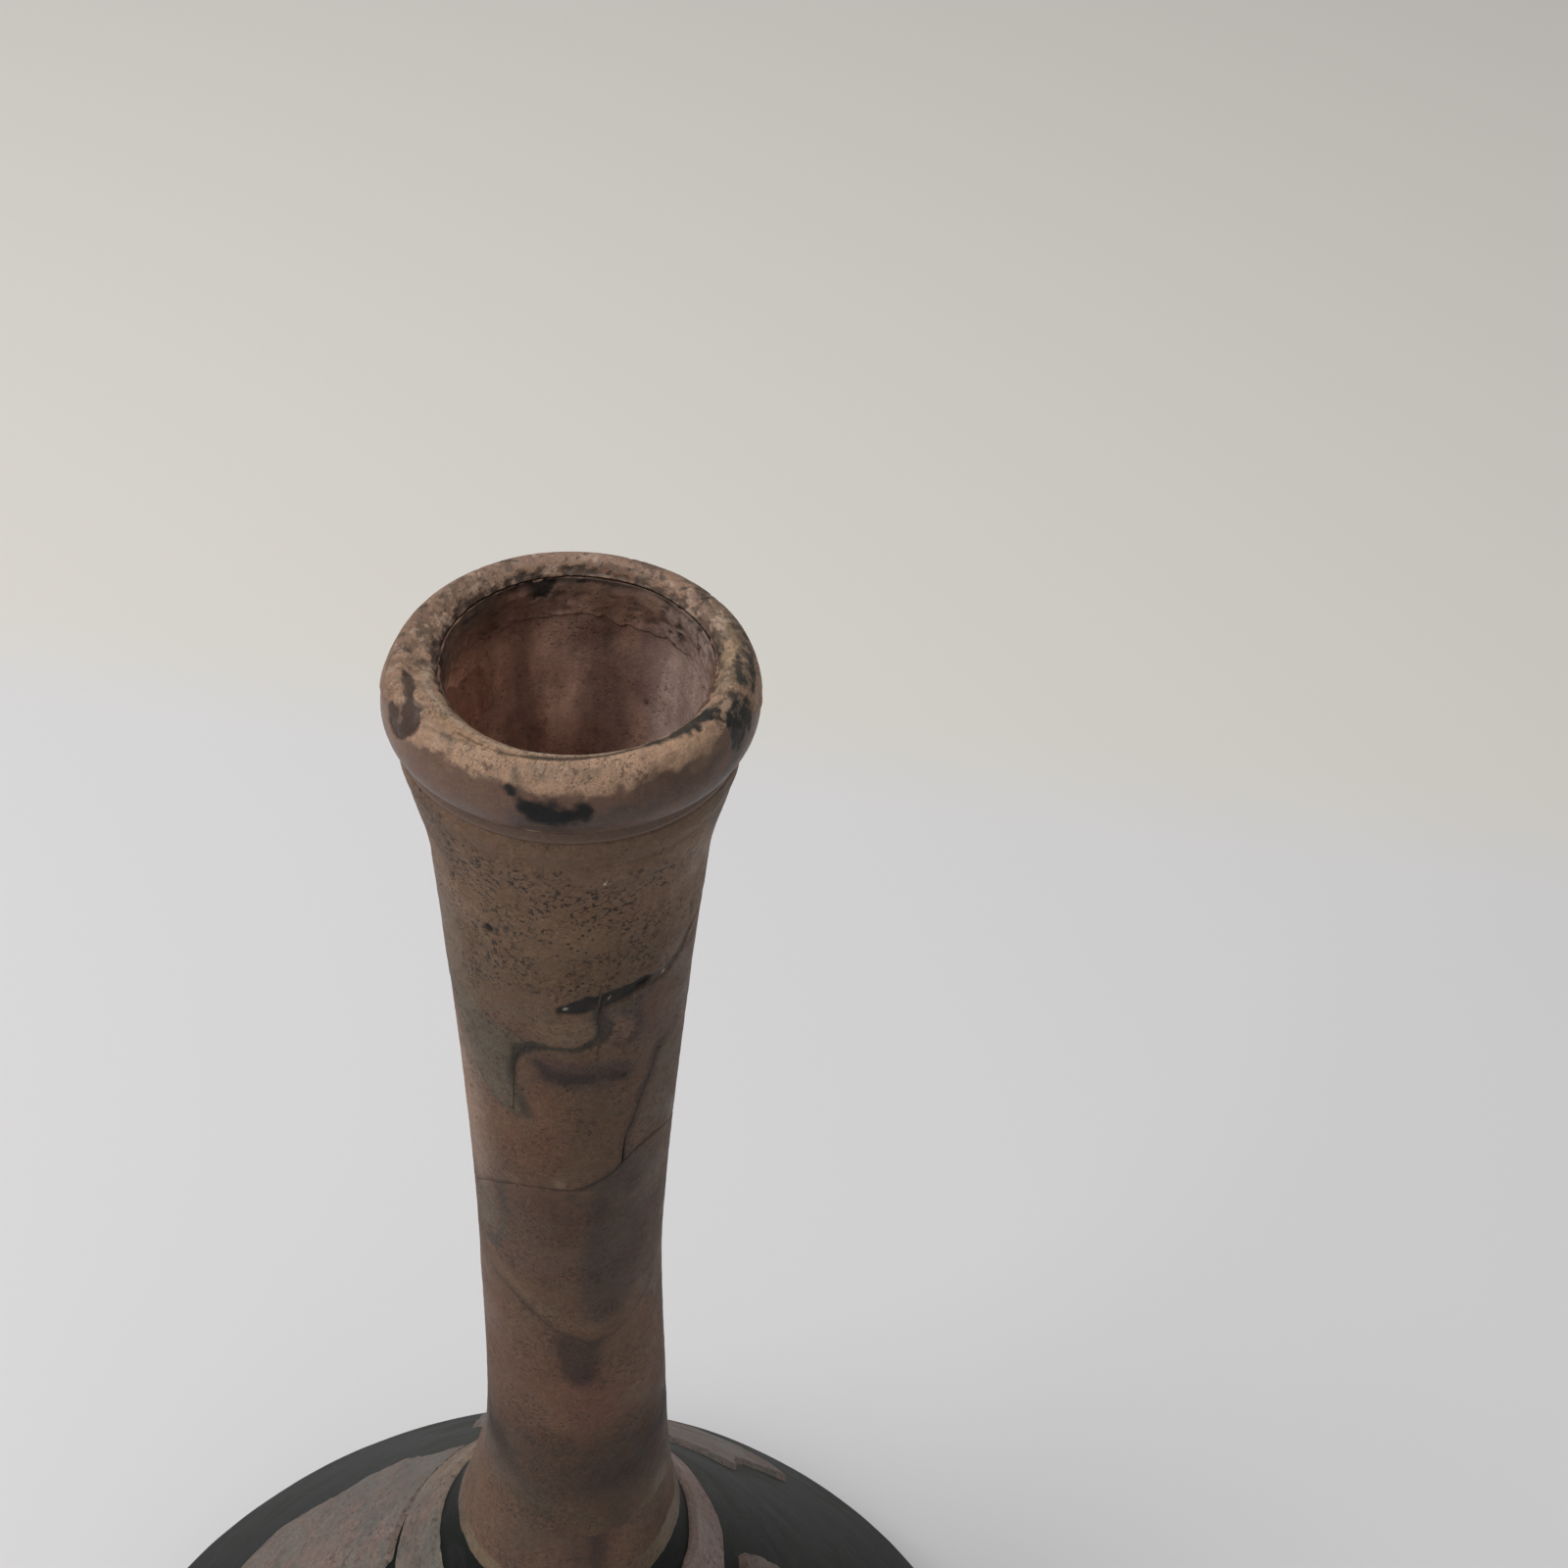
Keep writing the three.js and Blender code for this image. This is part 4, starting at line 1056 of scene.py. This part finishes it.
# The body's wall as one closed section turned round: out along the pushed-in base, up the heel and
# flank, over the top and back down inside to the floor. The first and last rows are single points.
def bodyShell():
    columns = 480
    azimuths = np.linspace(-180, 180, columns, endpoint=False)
    kickHeight, baseThickness, restWidth = 3, 2.6, 4
    restInner = restOuter - restWidth
    heel = form["heelRadius"] - form["filmUnder"]
    s = np.linspace(0, 1, 26)[1:]
    kick = np.stack([restInner * s, kickHeight * np.cos(s * math.pi / 2)], 1)
    ring = np.stack([np.linspace(restInner, restOuter, 5)[1:], np.zeros(4)], 1)
    a = np.radians(np.linspace(-90, math.degrees(flankAngle), 26)[1:])
    round_ = np.stack([restOuter + heel * np.cos(a), heel + heel * np.sin(a)], 1)
    z = np.linspace(flankFoot, form["neckRoot"] - 0.1, 110)[1:]
    flank = np.stack([skinRadius(z) - form["filmUnder"], z], 1)
    inZ = z[::-4]
    inner = np.stack([boreRadius(inZ), inZ], 1)
    turnIn = np.array([[restOuter + heel - 2.1, heel], [restOuter + 1.4, baseThickness + 0.5]])
    t = np.linspace(1, 0, 8)[:-1]
    floor = np.stack([(restOuter - 1) * t, baseThickness + kickHeight * 0.9 * np.cos(t * math.pi / 2)], 1)
    section = np.vstack([kick, ring, round_, flank, inner, turnIn, floor])
    azimuth = np.broadcast_to(azimuths, (len(section), columns))
    points = place(azimuth, section[:, :1], section[:, 1:])
    outside = (np.arange(len(section)) >= len(kick) + len(ring)) & (
        np.arange(len(section)) < len(kick) + len(ring) + len(round_) + len(flank))
    swell = 0.5 * (noise(points, 26, 5) - 0.5) + 0.12 * (fractal(points, 5, 3, 6) - 0.5)
    lift = (swell - 0.22) * (outside * smooth(0, 3, section[:, 1]))[:, None]
    points = place(azimuth, section[:, :1] + lift, section[:, 1:])
    poles = np.array([[0, 0, kickHeight], [0, 0, baseThickness + kickHeight * 0.9]])
    numbers = np.arange(points.shape[0] * columns).reshape(points.shape[0], columns)
    numbers = np.hstack([numbers, numbers[:, :1]])
    first, last = points.shape[0] * columns + np.arange(2)
    fans = [(first, b, a) for a, b in zip(numbers[0, :-1], numbers[0, 1:])]
    caps = [(last, a, b) for a, b in zip(numbers[-1, :-1], numbers[-1, 1:])]
    allPoints = np.vstack([points.reshape(-1, 3), poles])
    mesh = buildMesh("body", allPoints, gridQuads(numbers), {}, fans + caps)
    return addPiece("bodyGlass", mesh, glassMaterial("bodyGlass", bodyLook), ["body"])


bodyShell()

patchLook = {
    "blotch": 4.5, "blotchStrength": 0.35, "patchyStrength": 0.3, "streak": 1.0, "streakStrength": 0.1,
    "fine": 0.3, "fineStrength": 0.45, "pit": 0.6, "pitStrength": 0.7, "pitColour": (50, 42, 40),
    "cool": (98, 96, 90), "warm": (124, 96, 84), "bump": 0.6, "bumpDepth": 0.12, "rough": 0.72,
    "glossy": 0.25, "coat": 0.08, "shine": 0.25, "speck": 0.5, "speckStrength": 0.5, "flakeStrength": 0.3,
}
patchMaterial = crustMaterial("bodyCrust", patchLook)
patchColours = [(10, (92, 79, 71)), (24, (90, 80, 75)), (34, (96, 85, 80)), (44, (88, 78, 73)),
                (50, (86, 76, 71)), (54, (96, 82, 72))]


def bodySurface(azimuth, up, seed):
    r = skinRadius(up)
    points = place(azimuth, r, up)
    wall = {"azimuth": azimuth, "up": up, "perDegree": r * math.pi / 180, "points": points}
    surface = blankSurface(wall, patchColours)
    mauve = smooth(0.42, 0.62, fractal(points, 5, 4, seed))
    surface["paint"] += (linear((104, 88, 84)) * gain - surface["paint"]) * mauve[..., None] * 0.6
    worn = smooth(0.46, 0.62, fractal(points, 3.2, 4, seed + 7))
    surface["paint"] += (linear((62, 62, 56)) * gain - surface["paint"]) * worn[..., None] * 0.75
    surface["relief"] += 0.16 * (fractal(points, 4, 4, seed + 3) - 0.5) - 0.06 * worn
    surface["gloss"] += 0.5 * worn
    return r, surface


# The ring of crust below the groove at the neck's foot.
def shoulderRing():
    azimuths = np.linspace(-180, 180, 420, endpoint=False)
    spots = place(azimuths, 10, 50 + 0 * azimuths)
    high = top("shoulder_ring_crust") + 0.9 * (fractal(spots, 3, 4, 31) - 0.5)
    low = bottom("shoulder_ring_crust") + 1.6 * (fractal(spots, 3, 4, 37) - 0.6)
    rows = 40
    up = low + (high - low) * np.linspace(0, 1, rows)[:, None]
    azimuth = np.broadcast_to(azimuths, up.shape)
    r, surface = bodySurface(azimuth, up, 41)
    fromEdge = np.minimum(up - low, high - up)
    surface["relief"] -= form["filmUnder"] * 1.1 * (1 - smooth(0, 0.5, fromEdge))
    pale = smooth(40, 70, azimuth) * (1 - smooth(130, 160, azimuth))
    surface["paint"] += (linear((134, 112, 106)) * gain - surface["paint"]) * (pale * 0.7)[..., None]
    sandy = smooth(-170, -150, azimuth) * (1 - smooth(-126, -112, azimuth))
    surface["paint"] += (linear((104, 88, 70)) * gain - surface["paint"]) * (sandy * 0.85)[..., None]
    dark = smooth(-66, -48, azimuth) * (1 - smooth(14, 34, azimuth))
    surface["paint"] += (linear((44, 42, 38)) * gain - surface["paint"]) * (dark * 0.85)[..., None]
    face = place(azimuth, r + surface["relief"], up)
    back = place(azimuth, r - form["filmUnder"] - 0.5, up)[::-1][[0, rows // 2, rows - 1]]
    mesh = closedSkin("shoulderRing", np.concatenate([face, back]), surface, rows)
    return addPiece("shoulderRingCrust", mesh, patchMaterial, ["shoulder_ring_crust"])


shoulderRing()

# A patch of crust on the flank: middle azimuth, share of the flank's height, span in degrees, share
# of the flank it rises over, and the two waves of its edge.
bodyPatches = {
    "shoulder_crust_left": {"azimuth": -112, "at": 0.63, "span": 82, "rise": 0.5, "edge": (3, 0.4)},
    "shoulder_crust_right": {"azimuth": 82, "at": 0.65, "span": 40, "rise": 0.3, "edge": (2, 1.9)},
    "flank_crust_front": {"azimuth": -8, "at": 0.36, "span": 64, "rise": 0.41, "edge": (4, 2.2)},
    "flank_crust_right": {"azimuth": 88, "at": 0.24, "span": 53, "rise": 0.36, "edge": (3, 3.3)},
    "flank_crust_rear": {"azimuth": 166, "at": 0.34, "span": 60, "rise": 0.44, "edge": (4, 5.1)},
    "flank_crust_left": {"azimuth": -84, "at": 0.17, "span": 50, "rise": 0.24, "edge": (3, 1.2)},
}


# Rings of points from the middle out to a wandering outline, on the flank's own surface; the last
# rings drop to the glass and the underside closes the form.
def bodyPatch(name, patch, seed):
    flankHeight = form["neckRoot"] - flankFoot
    middle = flankFoot + patch["at"] * flankHeight
    halfWidth = math.degrees(math.sin(math.radians(patch["span"] / 2)))
    halfRise = patch["rise"] * flankHeight / 2
    columns, rings = 360, 62
    angle = np.linspace(0, 2 * math.pi, columns, endpoint=False)
    waves, phase = patch["edge"]
    wander = 1 + 0.13 * np.sin(waves * angle + phase) + 0.07 * np.sin((waves + 3) * angle - phase)
    rim = np.stack([np.cos(angle), np.sin(angle), 0 * angle + seed], -1) * 14
    wander *= 0.96 + 0.34 * (fractal(rim, 5, 5, seed) - 0.5)
    share = np.linspace(0, 1, rings + 1)[1:, None] ** 0.8
    azimuth = patch["azimuth"] + halfWidth * wander * np.cos(angle) * share
    low, high = flankFoot + 0.1, bottom("shoulder_ring_crust") - 0.6
    up = np.clip(middle + halfRise * wander * np.sin(angle) * share, low, high)
    r, surface = bodySurface(azimuth, up, seed)
    toEdge = (1 - share) * halfRise * wander
    surface["relief"] -= (form["filmUnder"] + 0.3) * (1 - smooth(0, 0.45, toEdge))
    face = place(azimuth, r + surface["relief"], up)
    back = place(azimuth, r - form["filmUnder"] - 0.45, up)[::-12][:5]
    count = (rings + len(back)) * columns
    ends = np.array([face[0].mean(0), back[-1].mean(0)])
    numbers = np.arange(count).reshape(-1, columns)
    numbers = np.hstack([numbers, numbers[:, :1]])
    fans = [(count, a, b) for a, b in zip(numbers[0, :-1], numbers[0, 1:])]
    under = [(count + 1, b, a) for a, b in zip(numbers[-1, :-1], numbers[-1, 1:])]
    fields = {}
    for key in ("paint", "gloss", "grain"):
        hidden = np.repeat(surface[key][-1:], len(back), 0)
        values = np.concatenate([surface[key], hidden]).reshape((count,) + surface[key].shape[2:])
        fields[key] = np.concatenate([values, values[:1], values[-1:]])
    points = np.vstack([face.reshape(-1, 3), back.reshape(-1, 3), ends])
    mesh = buildMesh(name, points, gridQuads(numbers)[:, ::-1], fields, fans + under)
    words = name.split("_")
    title = words[0] + "".join(w.capitalize() for w in words[1:])
    return addPiece(title, mesh, patchMaterial, [name])


for number, (patchName, patch) in enumerate(bodyPatches.items()):
    bodyPatch(patchName, patch, 101 + 13 * number)

# ---------- floor, light and camera ----------
stage = {"radius": 3200, "paper": (206, 206, 209), "beyond": (207, 205, 200), "edge": 150, "slope": 0.19}


def floorDisc():
    columns = 96
    a = np.linspace(0, 2 * math.pi, columns, endpoint=False)
    radii = np.array([40, 160, 500, 1400, stage["radius"]])[:, None]
    points = np.stack([radii * np.cos(a), radii * np.sin(a), 0 * radii * a], -1).reshape(-1, 3)
    numbers = np.arange(len(points)).reshape(-1, columns)
    numbers = np.hstack([numbers, numbers[:, :1]])
    mesh = buildMesh("floor", points, gridQuads(numbers)[:, ::-1], {}, [numbers[0, :-1]])
    material, wire = newMaterial("floor")
    at = coordinates(wire)
    parts = wire.node("ShaderNodeSeparateXYZ", inputs={0: at})
    x, y = parts, Wire(wire.tree, parts.socket.node.outputs[1])
    far = (y + x * stage["slope"]).step(stage["edge"] - 14, stage["edge"] + 14)
    cloud = grains(wire, at, 420, 2, 0.4).step(0.3, 0.7)
    colour = far.mix((*linear(stage["paper"]), 1), (*linear(stage["beyond"]), 1))
    colour = (cloud * 0.04).mix(colour, (*linear((190, 188, 184)), 1))
    shader = wire.node("ShaderNodeBsdfPrincipled", inputs={"Base Color": colour, "Roughness": 0.9})
    out = material.node_tree.nodes.new("ShaderNodeOutputMaterial")
    material.node_tree.links.new(shader.socket, out.inputs[0])
    mesh.materials.append(material)
    floor = bpy.data.objects.new("floor", mesh)
    bpy.context.scene.collection.objects.link(floor)


floorDisc()

lights = {
    "windowLight": {"at": (-620, -260, 620), "size": 620, "power": 3.2, "colour": (1.0, 0.98, 0.955)},
    "softFill": {"at": (520, -420, 560), "size": 700, "power": 0.12, "colour": (1.0, 0.99, 0.97)},
    "ceilingLight": {"at": (-300, 40, 700), "size": 460, "power": 2.7, "colour": (1.0, 0.99, 0.97)},
}
for name, light in lights.items():
    data = bpy.data.lights.new(name, "AREA")
    data.shape, data.size = "DISK", light["size"] * mm
    data.energy, data.color = light["power"], light["colour"]
    lamp = bpy.data.objects.new(name, data)
    lamp.location = Vector(light["at"]) * mm
    lamp.rotation_euler = (Vector((0, 0, 70 * mm)) - lamp.location).to_track_quat("-Z", "Y").to_euler()
    bpy.context.scene.collection.objects.link(lamp)

world = bpy.data.worlds.new("softSky")
world.use_nodes = True
world.node_tree.nodes["Background"].inputs["Color"].default_value = (1.0, 0.985, 0.965, 1)
world.node_tree.nodes["Background"].inputs["Strength"].default_value = 0.46
bpy.context.scene.world = world
bpy.context.scene.view_settings.view_transform = "Standard"

view = {"at": (2.3, -80.3, 62.5), "forward": (0.0973, 0.7472, -0.6575), "up": (0.0, 0.6606, 0.7507),
        "lens": 50}
camera = bpy.data.objects.new("camera", bpy.data.cameras.new("camera"))
camera.data.lens, camera.data.sensor_width = view["lens"], 36
camera.data.clip_start, camera.data.clip_end = 0.005, 20
forward, upward = Vector(view["forward"]).normalized(), Vector(view["up"])
right = forward.cross(upward).normalized()
upward = right.cross(forward)
turnTo = Matrix((right, upward, -forward)).transposed().to_4x4()
camera.matrix_world = Matrix.Translation((Vector(view["at"]) + Vector((0, 0, rimTop))) * mm) @ turnTo
bpy.context.scene.collection.objects.link(camera)
bpy.context.scene.camera = camera
